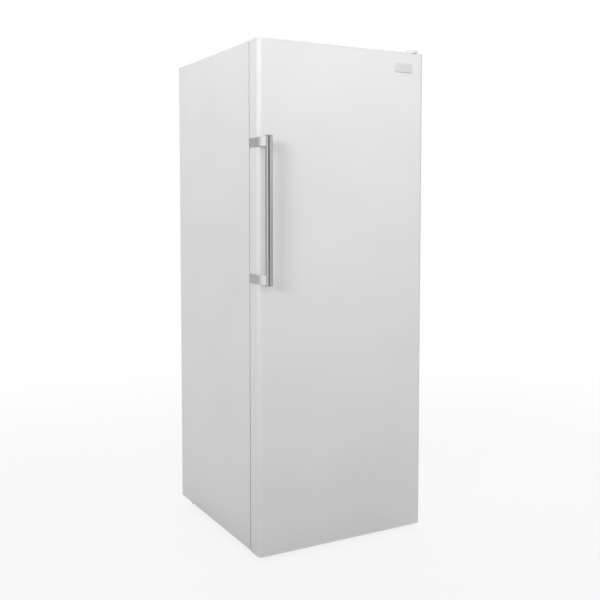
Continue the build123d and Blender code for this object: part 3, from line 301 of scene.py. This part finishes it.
slotFinish = {"white_enamel": enamel, "zinc_steel": zincSheet, "satin_bar": barSatin,
              "white_liner": linerWhite, "white_trim": trimWhite, "clear_plastic": clearPlastic,
              "grey_plastic": greyMoulded, "seal_rubber": sealGrey, "black_rubber": blackRubber,
              "insulation": foamCells, "black_machine": blackEnamel, "white_wire": shelfWhite,
              "copper": copper, "plate_grey": plateSatin}
for node, part in frame["nodes"].items():
    for holder in part.material_slots:
        holder.material = slotFinish[slotOf[node]]
print("finishes:", len(bpy.data.materials))


def newPiece(name, mesh, finish, body):
    piece = bpy.data.objects.new(name, mesh)
    bpy.context.scene.collection.objects.link(piece)
    mesh.materials.clear()
    mesh.materials.append(finish)
    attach(piece, body)
    return piece


def smoothBelow(mesh, degrees):
    mesh.shade_smooth()
    mesh.set_sharp_from_angle(angle=math.radians(degrees))


def eased(node, edge, finish=None, segments=2, crease=38, weld=0.003 * mm, flat=0.3):
    # a merged copy of a CAD piece with its sharp edges rounded
    mesh = frame["nodes"][node].data.copy()
    shape = bmesh.new()
    shape.from_mesh(mesh)
    bmesh.ops.remove_doubles(shape, verts=shape.verts, dist=weld)
    bmesh.ops.dissolve_limit(shape, angle_limit=math.radians(flat), verts=shape.verts,
                             edges=shape.edges)
    shape.to_mesh(mesh)
    shape.free()
    smoothBelow(mesh, crease)
    words = node.split("_")
    name = words[0] + "".join(word.capitalize() for word in words[1:]) + "Eased"
    piece = newPiece(name, mesh, finish or slotFinish[slotOf[node]], bodyOf[node])
    bevel = piece.modifiers.new("easedEdges", "BEVEL")
    bevel.width, bevel.segments, bevel.limit_method = edge, segments, "ANGLE"
    bevel.angle_limit, bevel.harden_normals = math.radians(crease), True
    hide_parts(node)
    return piece


# the liner and the lower cap have large faces with narrow rims, so their edges stay small
easedEdges = {"outer_wrapper": 0.35 * mm, "door_skin": 0.35 * mm, "door_cap_top": 0.7 * mm,
              "door_cap_bottom": 0.6 * mm, "hinge_bracket_top": 0.4 * mm,
              "hinge_bracket_bottom": 0.5 * mm, "foot_bracket": 0.5 * mm,
              "hinge_cover": 0.4 * mm, "inner_liner": 0.1 * mm, "door_liner": 0.8 * mm,
              "thermostat_housing": 0.8 * mm, "lamp_cover": 0.6 * mm,
              "door_switch_body": 0.5 * mm, "storage_drawer": 0.7 * mm, "base_panel": 0.3 * mm,
              "compressor_rail": 0.5 * mm, "compressor_body": 0.8 * mm, "relay_cover": 0.8 * mm,
              "wall_spacers": 0.8 * mm, "roller_left": 0.4 * mm, "roller_right": 0.4 * mm,
              "shelf_clips": 0.8 * mm, "thermostat_knob": 0.6 * mm, "back_panel": 0.3 * mm,
              "handle_bar": 0.3 * mm, "nameplate": 0.35 * mm, "condenser_brackets": 0.8 * mm}
for node, edge in easedEdges.items():
    eased(node, edge)
for level in ("lower", "upper"):
    eased("handle_bracket_" + level, 0.8 * mm, bracketSatin, 3)
for number in range(1, 5):
    eased(f"door_bin_{number}", 0.6 * mm)
print("eased pieces:", len(easedEdges) + 6)


def startTree(name, inputs):
    # a geometry tree with named inputs; gives its graph and a wire for each input
    tree = bpy.data.node_groups.new(name, "GeometryNodeTree")
    kinds = {"Count": "Int", "Sides": "Int", "Finish": "Material", "Shape": "Object",
             "Start": "Vector", "Step": "Vector", "Run": "Vector"}
    tree.interface.new_socket("Geometry", in_out="INPUT", socket_type="NodeSocketGeometry")
    for key in inputs:
        tree.interface.new_socket(key, in_out="INPUT",
                                  socket_type="NodeSocket" + kinds.get(key, "Float"))
    tree.interface.new_socket("Geometry", in_out="OUTPUT", socket_type="NodeSocketGeometry")
    graph = Graph(tree)
    entry = tree.nodes.new("NodeGroupInput")
    return graph, {socket.name: Wire(graph, socket) for socket in entry.outputs if socket.name}


def endTree(graph, copies, finish):
    solid = graph.node("GeometryNodeRealizeInstances", None, {"Geometry": copies})
    painted = graph.node("GeometryNodeSetMaterial", None, {"Geometry": solid,
                                                           "Material": finish})
    graph.node("NodeGroupOutput", None, {0: painted})
    return graph.tree


def rodRowTree():
    # round rods side by side, each running from its place along Run
    graph, given = startTree("rodRow", ("Count", "Start", "Step", "Run", "Radius", "Sides",
                                        "Finish"))
    path = graph.node("GeometryNodeCurvePrimitiveLine", None, {"End": given["Run"]})
    section = graph.node("GeometryNodeCurvePrimitiveCircle", None,
                         {"Resolution": given["Sides"], "Radius": given["Radius"]})
    rod = graph.node("GeometryNodeCurveToMesh", None,
                     {"Curve": path, "Profile Curve": section, "Fill Caps": True})
    places = graph.node("GeometryNodeMeshLine", {"mode": "OFFSET"},
                        {"Count": given["Count"], "Start Location": given["Start"],
                         "Offset": given["Step"]})
    rods = graph.node("GeometryNodeInstanceOnPoints", None, {"Points": places, "Instance": rod})
    return endTree(graph, rods, given["Finish"])


def ringTree():
    # copies of a shape round the Z axis, each turned to face outwards
    graph, given = startTree("shapeRing", ("Count", "Radius", "First", "Spacing", "Shape", "Finish"))
    turn = given["First"] + graph.node("GeometryNodeInputIndex") * given["Spacing"]
    spot = graph.node("ShaderNodeCombineXYZ", None,
                      {"X": graph.maths("COSINE", turn) * given["Radius"],
                       "Y": graph.maths("SINE", turn) * given["Radius"]})
    spots = graph.node("GeometryNodePoints", None, {"Count": given["Count"], "Position": spot})
    shape = graph.node("GeometryNodeObjectInfo", None, {"Object": given["Shape"]}, "Geometry")
    facing = graph.node("ShaderNodeCombineXYZ", None, {"Z": turn})
    copies = graph.node("GeometryNodeInstanceOnPoints", None,
                        {"Points": spots, "Instance": shape, "Rotation": facing})
    return endTree(graph, copies, given["Finish"])


def pointsTree():
    # a shape on every point of the carrier
    graph, given = startTree("shapeAtPoints", ("Shape", "Finish"))
    shape = graph.node("GeometryNodeObjectInfo", None, {"Object": given["Shape"]}, "Geometry")
    copies = graph.node("GeometryNodeInstanceOnPoints", None,
                        {"Points": given["Geometry"], "Instance": shape})
    return endTree(graph, copies, given["Finish"])


def sealTree():
    # a moulded profile swept round a rounded rectangle
    graph, given = startTree("sealSweep", ("Width", "Height", "Corner", "Sides", "Shape",
                                           "Finish"))
    outline = graph.node("GeometryNodeCurvePrimitiveQuadrilateral", None,
                         {"Width": given["Width"], "Height": given["Height"]})
    rounded = graph.node("GeometryNodeFilletCurve", {"mode": "POLY"},
                         {"Curve": outline, "Count": given["Sides"], "Radius": given["Corner"]})
    section = graph.node("GeometryNodeObjectInfo", None, {"Object": given["Shape"]}, "Geometry")
    ring = graph.node("GeometryNodeCurveToMesh", None,
                      {"Curve": rounded, "Profile Curve": section})
    return endTree(graph, ring, given["Finish"])


def grown(name, tree, body, values, points=(), lay=None, crease=40):
    # runs a tree on a carrier, keeps the result as a plain mesh and lays it in place
    carrierMesh = bpy.data.meshes.new(name + "Carrier")
    carrierMesh.from_pydata([tuple(point) for point in points], [], [])
    carrier = bpy.data.objects.new(name + "Carrier", carrierMesh)
    bpy.context.scene.collection.objects.link(carrier)
    modifier = carrier.modifiers.new("grow", "NODES")
    modifier.node_group = tree
    for socket in tree.interface.items_tree:
        if socket.in_out == "INPUT" and socket.name in values:
            modifier[socket.identifier] = values[socket.name]
    ready = carrier.evaluated_get(bpy.context.evaluated_depsgraph_get())
    mesh = bpy.data.meshes.new_from_object(ready)
    carrier.modifiers.remove(modifier)
    bpy.data.objects.remove(carrier)
    if lay:
        mesh.transform(lay)
    smoothBelow(mesh, crease)
    return newPiece(name, mesh, values["Finish"], body)


rodRow, shapeRing, shapeAtPoints, sealSweep = rodRowTree(), ringTree(), pointsTree(), sealTree()


def pattern(name, build):
    # a small mesh that a tree copies; it is removed once the trees have run
    mesh = bpy.data.meshes.new(name)
    shape = bmesh.new()
    build(shape)
    bmesh.ops.recalc_face_normals(shape, faces=shape.faces)
    shape.to_mesh(mesh)
    shape.free()
    made = bpy.data.objects.new(name, mesh)
    bpy.context.scene.collection.objects.link(made)
    return made


def lathe(shape, profile, sides, turn=Matrix.Identity(4)):
    # a turned form from (radius, height) pairs, closed at both ends
    rings = []
    for radius, height in profile:
        rings.append([shape.verts.new(turn @ Vector((
            radius * math.cos(math.tau * i / sides), radius * math.sin(math.tau * i / sides),
            height))) for i in range(sides)])
    for low, high in zip(rings, rings[1:]):
        for i in range(sides):
            shape.faces.new((low[i], low[(i + 1) % sides], high[(i + 1) % sides], high[i]))
    shape.faces.new(list(reversed(rings[0])))
    shape.faces.new(rings[-1])


def turned(name, profile, sides, lay, finish, body, crease=40):
    mesh = bpy.data.meshes.new(name)
    shape = bmesh.new()
    lathe(shape, profile, sides)
    bmesh.ops.recalc_face_normals(shape, faces=shape.faces)
    shape.to_mesh(mesh)
    shape.free()
    mesh.transform(lay)
    smoothBelow(mesh, crease)
    return newPiece(name, mesh, finish, body)


def boxShape(shape, low, high):
    middle = (Vector(low) + Vector(high)) / 2
    size = Vector(high) - Vector(low)
    bmesh.ops.create_cube(shape, size=1.0, matrix=Matrix.Translation(middle)
                          @ Matrix.Diagonal((*size, 1.0)))


sealLook = {"wide": 16 * mm, "corner": 11 * mm, "turns": 10,
            "folds": [(0.0, 0.16), (2.4 * mm, 0.22), (1.0 * mm, 0.36), (3.0 * mm, 0.46),
                      (0.6 * mm, 0.56), (0.0, 0.70), (0.4 * mm, 0.92), (1.6 * mm, 1.0)]}


def makeSeal(look):
    # a bellows seal: foot, folded walls and the rounded magnet bead; folds are (inset, share)
    low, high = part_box("door_gasket")
    wide, deep = look["wide"], high.y - low.y
    side = [(wide / 2 - inset, share * deep) for inset, share in look["folds"]]
    profile = [(-wide / 2, 0), (wide / 2, 0)] + side + [(-x, y) for x, y in reversed(side)]
    curve = bpy.data.curves.new("sealProfile", "CURVE")
    line = curve.splines.new("POLY")
    line.points.add(len(profile) - 1)
    for point, (x, y) in zip(line.points, profile):
        point.co = (x, y, 0, 1)
    line.use_cyclic_u = True
    section = bpy.data.objects.new("sealProfile", curve)
    bpy.context.scene.collection.objects.link(section)
    lay = Matrix.Translation(((low.x + high.x) / 2, low.y, (low.z + high.z) / 2)) \
        @ Matrix.Rotation(math.radians(90), 4, "X")
    seal = grown("sealBellows", sealSweep, "door",
                 {"Width": high.x - low.x - wide, "Height": high.z - low.z - wide,
                  "Corner": look["corner"], "Sides": look["turns"], "Shape": section,
                  "Finish": sealGrey}, lay=lay, crease=30)
    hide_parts("door_gasket")
    bpy.data.objects.remove(section)
    return seal


makeSeal(sealLook)
print("door seal done")

condenserLook = {"count": 75, "radius": 0.75 * mm, "sides": 8, "side": 3.0 * mm,
                 "insetLeft": 50 * mm, "insetRight": 32 * mm, "foot": 320 * mm}


def makeCondenserWires(look):
    # upright wires on both sides of the coil's tube
    low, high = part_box("condenser_coil")
    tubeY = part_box("filter_drier")[0].y / 2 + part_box("filter_drier")[1].y / 2
    left, right = low.x + look["insetLeft"], high.x - look["insetRight"]
    step = (right - left) / (look["count"] - 1)
    for side, way in (("Wall", 1), ("Panel", -1)):
        grown("condenserWires" + side, rodRow, "cabinet",
              {"Count": look["count"], "Start": (left, tubeY + way * look["side"],
                                                 look["foot"]),
               "Step": (step, 0, 0), "Run": (0, 0, high.z - look["foot"]),
               "Radius": look["radius"], "Sides": look["sides"], "Finish": blackEnamel})


makeCondenserWires(condenserLook)

screwLook = {"head": 4.0 * mm, "rise": 1.8 * mm, "slotWidth": 0.9 * mm, "sides": 20,
             "inset": 14 * mm, "across": 5, "up": 8}


def crossHead(shape, look):
    # pan head with a cross recess, standing along +Y
    turn = Matrix.Rotation(math.radians(-90), 4, "X")
    head, rise = look["head"], look["rise"]
    lathe(shape, [(head, 0), (head, rise * 0.35), (head * 0.86, rise * 0.75),
                  (head * 0.55, rise * 0.96), (head * 0.3, rise)], look["sides"], turn)
    arm, half = head * 0.52, look["slotWidth"] / 2
    for length, width in ((arm, half), (half, arm)):
        boxShape(shape, (-length, rise - 0.02 * mm, -width), (length, rise + 0.12 * mm, width))


def makePanelScrews(look):
    # screws round the rim of the back panel
    low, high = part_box("back_panel")
    head = pattern("crossHead", lambda shape: crossHead(shape, look))
    xs = [low.x + look["inset"] + i * (high.x - low.x - 2 * look["inset"]) / (look["across"] - 1)
          for i in range(look["across"])]
    zs = [low.z + look["inset"] + i * (high.z - low.z - 2 * look["inset"]) / (look["up"] - 1)
          for i in range(look["up"])]
    rim = [(x, high.y, z) for x in xs for z in (zs[0], zs[-1])]
    rim += [(x, high.y, z) for z in zs[1:-1] for x in (xs[0], xs[-1])]
    grown("panelScrews", shapeAtPoints, "cabinet",
          {"Shape": head, "Finish": screwSteel}, rim)
    bpy.data.objects.remove(head)


makePanelScrews(screwLook)

panelRibLook = {"count": 6, "width": 9 * mm, "rise": 1.6 * mm, "inset": 60 * mm, "sides": 24}


def makePanelRibs(look):
    # long stiffening beads pressed into the back panel
    low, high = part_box("back_panel")
    step = (high.z - low.z - 2 * look["inset"]) / (look["count"] - 1)
    flatten = Matrix.Translation((0, high.y, 0)) \
        @ Matrix.Diagonal((1, look["rise"] / look["width"], 1, 1)) \
        @ Matrix.Translation((0, -high.y, 0))
    grown("panelBeads", rodRow, "cabinet",
          {"Count": look["count"], "Start": (low.x + look["inset"], high.y,
                                             low.z + look["inset"]),
           "Step": (0, 0, step), "Run": (high.x - low.x - 2 * look["inset"], 0, 0),
           "Radius": look["width"], "Sides": look["sides"], "Finish": zincSheet}, lay=flatten)


makePanelRibs(panelRibLook)
print("back done")

shelfLook = {"count": 16, "step": 25 * mm, "inset": 2.5 * mm, "radius": 1.2 * mm, "sides": 10}


def middled(count, step):
    # where a row starts that lies evenly about the middle plane
    return -(count - 1) / 2 * step


def makeShelfWires(look):
    # the finer cross wires between the welded ones
    for number in range(1, 5):
        low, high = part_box(f"evaporator_shelf_{number}")
        inset = look["inset"]
        grown(f"shelfWires{number}", rodRow, "cabinet",
              {"Count": look["count"],
               "Start": (middled(look["count"], look["step"]), low.y + inset, high.z - inset),
               "Step": (look["step"], 0, 0), "Run": (0, high.y - low.y - 2 * inset, 0),
               "Radius": look["radius"], "Sides": look["sides"], "Finish": shelfWhite})


makeShelfWires(shelfLook)

ribLook = {"drawer": {"count": 23, "step": 18 * mm, "radius": 1.2 * mm, "rise": 120 * mm,
                      "behind": 8 * mm, "above": 30 * mm},
           "bin": {"count": 21, "step": 16 * mm, "radius": 0.9 * mm, "rise": 84 * mm,
                   "above": 13 * mm}, "sides": 12}


def makeRibs(look):
    # moulded ribs on the drawer's front and on the front of each bin
    drawer, bins = look["drawer"], look["bin"]
    low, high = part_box("storage_drawer")
    rows = [("drawerRibs", "cabinet", drawer, low.y + drawer["behind"], low.z)]
    for number in range(1, 5):
        low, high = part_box(f"door_bin_{number}")
        rows.append((f"binRibs{number}", f"door_bin_{number}", bins, high.y, low.z))
    for name, body, row, face, bottom in rows:
        grown(name, rodRow, body,
              {"Count": row["count"],
               "Start": (middled(row["count"], row["step"]), face, bottom + row["above"]),
               "Step": (row["step"], 0, 0), "Run": (0, 0, row["rise"]),
               "Radius": row["radius"], "Sides": look["sides"], "Finish": clearPlastic})


makeRibs(ribLook)

dialLook = {"ticks": 7, "radius": 17.5 * mm, "tick": (1.8 * mm, 0.5 * mm, 0.25 * mm),
            "numberRadius": 13.2 * mm, "numberSize": 4.6 * mm, "numberRise": 0.12 * mm,
            "sweep": 300, "skirt": 6.5 * mm}


def makeDial(look):
    # ticks and plain numbers on the knob's skirt
    low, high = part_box("thermostat_knob")
    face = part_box("thermostat_housing")[0].x - look["skirt"]
    centre = Vector((face, (low.y + high.y) / 2, (low.z + high.z) / 2))
    lay = Matrix.Translation(centre) @ Matrix.Rotation(math.radians(-90), 4, "Y")
    long, wide, rise = look["tick"]
    mark = pattern("dialTick", lambda shape: boxShape(
        shape, (-long / 2, -wide / 2, -rise / 2), (long / 2, wide / 2, rise / 2)))
    gap = math.radians(look["sweep"]) / look["ticks"]
    grown("dialTicks", shapeRing, "thermostat_knob",
          {"Count": look["ticks"], "Radius": look["radius"], "First": 0.0, "Spacing": gap,
           "Shape": mark, "Finish": dialInk}, lay=lay)
    bpy.data.objects.remove(mark)
    numbers = bmesh.new()
    for index in range(look["ticks"]):
        words = bpy.data.curves.new("dialNumber", "FONT")
        words.body, words.size = str(index), look["numberSize"]
        words.extrude, words.align_x, words.align_y = look["numberRise"], "CENTER", "CENTER"
        letter = bpy.data.objects.new("dialNumber", words)
        bpy.context.scene.collection.objects.link(letter)
        ready = letter.evaluated_get(bpy.context.evaluated_depsgraph_get())
        mesh = bpy.data.meshes.new_from_object(ready)
        mesh.transform(lay @ Matrix.Rotation(gap * index, 4, "Z")
                       @ Matrix.Translation((look["numberRadius"], 0, 0))
                       @ Matrix.Rotation(math.radians(-90), 4, "Z"))
        numbers.from_mesh(mesh)
        bpy.data.objects.remove(letter)
        bpy.data.meshes.remove(mesh)
    numberMesh = bpy.data.meshes.new("dialNumbers")
    numbers.to_mesh(numberMesh)
    numbers.free()
    newPiece("dialNumbers", numberMesh, dialInk, "thermostat_knob")


makeDial(dialLook)

lampRibLook = {"count": 25, "step": 4 * mm, "radius": 0.4 * mm, "sides": 10, "inset": 6 * mm}


def makeLampRibs(look):
    # prism ribs along the underside of the lamp cover
    low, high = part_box("lamp_cover")
    inset = look["inset"]
    grown("lampRibs", rodRow, "cabinet",
          {"Count": look["count"], "Start": (middled(look["count"], look["step"]),
                                             low.y + inset, low.z + look["radius"]),
           "Step": (look["step"], 0, 0), "Run": (0, high.y - low.y - 2 * inset, 0),
           "Radius": look["radius"], "Sides": look["sides"], "Finish": clearPlastic})


makeLampRibs(lampRibLook)
print("inside done")

footLook = {"grips": 28, "grip": (0.8 * mm, 0.9 * mm, 5 * mm), "gripFoot": 1 * mm, "sides": 48,
            "edge": 0.8 * mm, "padTop": 8 * mm, "neck": 7 * mm, "pitch": 1.0 * mm,
            "root": 4.35 * mm, "crest": 5.0 * mm}


def makeFeet(look):
    # levelling feet: turned pad with a gripped rim, threaded stem
    (depth, half, tall), start = look["grip"], look["gripFoot"]
    edge, padTop = look["edge"], look["padTop"]
    grip = pattern("footGrip", lambda shape: boxShape(shape, (-depth, -half, start),
                                                      (edge / 4, half, start + tall)))
    for side in ("left", "right"):
        low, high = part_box("foot_" + side)
        centre = Matrix.Translation(((low.x + high.x) / 2, (low.y + high.y) / 2, low.z))
        outer = (high.x - low.x) / 2
        body, name = "foot_" + side, "foot" + side.capitalize()
        profile = [(outer - 2 * edge, 0), (outer - edge, edge), (outer - edge, padTop - 1.5 * edge),
                   (outer - 3 * edge, padTop), (look["neck"], padTop)]
        top = high.z - low.z
        turnsUp = padTop
        while turnsUp < top - 1.2 * look["pitch"]:
            profile += [(look["root"], turnsUp), (look["crest"], turnsUp + look["pitch"] / 2)]
            turnsUp += look["pitch"]
        profile += [(look["root"] - 0.15 * mm, top - 0.2 * mm), (look["root"] - 0.55 * mm, top)]
        foot = turned(name + "Turned", profile, look["sides"], centre, greyMoulded, body,
                      30)
        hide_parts("foot_" + side)
        grown(name + "Grips", shapeRing, body,
              {"Count": look["grips"], "Radius": outer - 0.25 * mm, "First": 0.0,
               "Spacing": math.tau / look["grips"], "Shape": grip, "Finish": greyMoulded},
              lay=centre)
    bpy.data.objects.remove(grip)


makeFeet(footLook)

compressorLook = {"washer": 9 * mm, "washerHigh": 1.2 * mm, "nut": 5.5 * mm, "nutHigh": 4 * mm,
                  "mount": 11 * mm, "tubeAside": (28 * mm, 52 * mm), "tubeBelow": 26 * mm,
                  "tube": [(3 * mm, -14 * mm), (3 * mm, 24 * mm), (2.2 * mm, 27 * mm),
                           (2.2 * mm, 33 * mm), (1.2 * mm, 34 * mm)]}


def makeCompressorDetail(look):
    # washers and nuts over the rubber mounts, and the sealed filling tube
    low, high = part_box("compressor_grommets")
    fixing = pattern("mountNut", lambda shape: (
        lathe(shape, [(look["washer"], 0), (look["washer"], look["washerHigh"])], 24),
        lathe(shape, [(look["nut"], look["washerHigh"]),
                      (look["nut"], look["washerHigh"] + look["nutHigh"])], 6)))
    mount = look["mount"]
    places = [(x, y, high.z) for x in (low.x + mount, high.x - mount)
              for y in (low.y + mount, high.y - mount)]
    grown("mountNuts", shapeAtPoints, "cabinet",
          {"Shape": fixing, "Finish": screwSteel}, places, crease=25)
    bpy.data.objects.remove(fixing)
    low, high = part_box("compressor_body")
    alongX, alongY = look["tubeAside"]
    spot = Vector(((low.x + high.x) / 2 + alongX, (low.y + high.y) / 2 + alongY,
                   high.z - look["tubeBelow"]))
    turned("fillingTube", look["tube"], 20, Matrix.Translation(spot), copper, "cabinet")


makeCompressorDetail(compressorLook)
print("machine and feet done")

# the camera stands where the photo was taken from; yaw and pitch are in radians
cameraLook = {"spot": (-1.4027, -2.5505, 1.0812), "yaw": 0.5061, "pitch": 0.0593,
              "lens": 50.77, "shift": -0.075}


def makeCamera(look):
    # the product view, level with the upper half of the cabinet
    data = bpy.data.cameras.new("productCamera")
    camera = bpy.data.objects.new("productCamera", data)
    bpy.context.scene.collection.objects.link(camera)
    forward = Vector((math.sin(look["yaw"]) * math.cos(look["pitch"]),
                      math.cos(look["yaw"]) * math.cos(look["pitch"]), -math.sin(look["pitch"])))
    camera.location = look["spot"]
    camera.rotation_euler = forward.to_track_quat("-Z", "Y").to_euler()
    data.sensor_width, data.lens, data.shift_y = 36, look["lens"], look["shift"]
    data.clip_start, data.clip_end = 0.05, 60
    bpy.context.scene.camera = camera


# cards are (place, brightness) from away from the camera, 0, to right behind it, 1
studioLook = {"floorRadius": 7.0, "floorGrey": 0.87, "floorWhite": 0.84, "ambient": 0.63,
              "leftCards": [(0.0, 0.45), (0.23, 0.45), (0.30, 0.28), (0.54, 0.55),
                            (0.66, 0.82), (0.80, 0.86), (0.92, 0.95), (0.96, 0.55),
                            (0.985, 0.10), (1.0, 0.06)],
              "rightCards": [(0.0, 0.34), (0.30, 0.38), (0.62, 0.42), (0.72, 0.74),
                             (0.82, 0.76), (0.93, 0.60), (0.955, 0.40), (0.98, 0.10),
                             (1.0, 0.06)]}
lampsLook = {"frontKey": {"spot": (-0.8, -3.7, 3.0), "aim": (0, 0, 2.1), "size": 1.8,
                          "power": 3.7, "spread": 52},
             "leftKey": {"spot": (-5.2, -3.0, 3.5), "aim": (0, 0, 2.25), "size": 2.8,
                         "power": 14, "spread": 31, "glossy": False},
             "fillLamp": {"spot": (2.8, -2.2, 2.2), "aim": (0, 0, 0.9), "size": 2.4,
                          "power": 8, "spread": 180},
             "backLamp": {"spot": (0.8, 3.0, 2.6), "aim": (0, 0, 0.9), "size": 2.4,
                          "power": 30, "spread": 180, "glossy": False}}


def makeLamps(looks):
    # soft lamps aimed high, so that the light fades towards the floor
    for name, look in looks.items():
        data = bpy.data.lights.new(name, "AREA")
        data.size, data.energy = look["size"], look["power"]
        data.spread = math.radians(look["spread"])
        lamp = bpy.data.objects.new(name, data)
        bpy.context.scene.collection.objects.link(lamp)
        lamp.location = look["spot"]
        lamp.visible_glossy = look.get("glossy", True)
        away = Vector(look["aim"]) - Vector(look["spot"])
        lamp.rotation_euler = away.to_track_quat("-Z", "Y").to_euler()


def makeWorld(look):
    # white to the camera; metal sees soft boxes with dark gaps between them
    world = bpy.data.worlds.new("studioWorld")
    world.use_nodes = True
    bpy.context.scene.world = world
    graph = Graph(world.node_tree)
    world.node_tree.nodes.clear()
    direction = graph.node("ShaderNodeTexCoord", output="Generated")
    front = Vector((*cameraLook["spot"][:2], 0)).normalized()
    towards = graph.node("ShaderNodeVectorMath", {"operation": "DOT_PRODUCT"},
                         {0: direction, 1: tuple(front)}, "Value") * 0.5 + 0.5
    across = graph.node("ShaderNodeVectorMath", {"operation": "DOT_PRODUCT"},
                        {0: direction, 1: (-front.y, front.x, 0)}, "Value")
    left = graph.node("ShaderNodeValToRGB", {"stops": look["leftCards"]}, {"Fac": towards})
    right = graph.node("ShaderNodeValToRGB", {"stops": look["rightCards"]}, {"Fac": towards})
    cards = graph.paint(graph.step(across, -0.06, 0.06), left, right)
    rays = graph.node("ShaderNodeLightPath", output="Is Camera Ray")
    glossy = graph.node("ShaderNodeLightPath", output="Is Glossy Ray")
    through = graph.node("ShaderNodeLightPath", output="Is Transmission Ray")
    ambient = look["ambient"]
    seen = graph.paint(glossy, (ambient, ambient, ambient), cards)
    shown = graph.paint(graph.maths("MAXIMUM", rays, through), seen, (1, 1, 1))
    light = graph.node("ShaderNodeBackground", None, {"Color": shown, "Strength": 1.0})
    graph.node("ShaderNodeOutputWorld", None, {"Surface": light})


def makeFloor(look):
    # a pale floor that the camera sees nearly white, with the object's soft shadow left on it
    mesh = bpy.data.meshes.new("studioFloor")
    shape = bmesh.new()
    bmesh.ops.create_circle(shape, cap_ends=True, radius=look["floorRadius"], segments=96)
    shape.to_mesh(mesh)
    shape.free()
    floor = bpy.data.objects.new("studioFloor", mesh)
    bpy.context.scene.collection.objects.link(floor)
    floor.location.z = -0.2 * mm
    material = bpy.data.materials.new("studioFloor")
    material.use_nodes = True
    graph = Graph(material.node_tree)
    material.node_tree.nodes.clear()
    place = graph.node("ShaderNodeTexCoord", output="Object")
    grain = graph.noise(place, 40, 3.0)
    grey = look["floorGrey"]
    matt = graph.node("ShaderNodeBsdfDiffuse", None, {"Color": graph.paint(
        grain, (grey, grey, grey), (grey - 0.02, grey - 0.02, grey - 0.02))})
    white = graph.node("ShaderNodeEmission", None, {"Color": (1, 1, 1, 1), "Strength": 1.0})
    direct = graph.node("ShaderNodeLightPath", output="Is Camera Ray")
    through = graph.node("ShaderNodeLightPath", output="Is Transmission Ray")
    far = graph.node("ShaderNodeVectorMath", {"operation": "LENGTH"}, {0: place}, "Value")
    edge = graph.step(far, 1.2, 3.2, look["floorWhite"], 1.0)
    seen = graph.maths("MAXIMUM", direct, through)
    mixed = graph.node("ShaderNodeMixShader", None, {0: seen * edge, 1: matt, 2: white})
    graph.node("ShaderNodeOutputMaterial", None, {"Surface": mixed})
    mesh.materials.append(material)


makeCamera(cameraLook)
makeLamps(lampsLook)
makeWorld(studioLook)
makeFloor(studioLook)
bpy.context.scene.view_settings.view_transform = "Standard"
print("studio done")
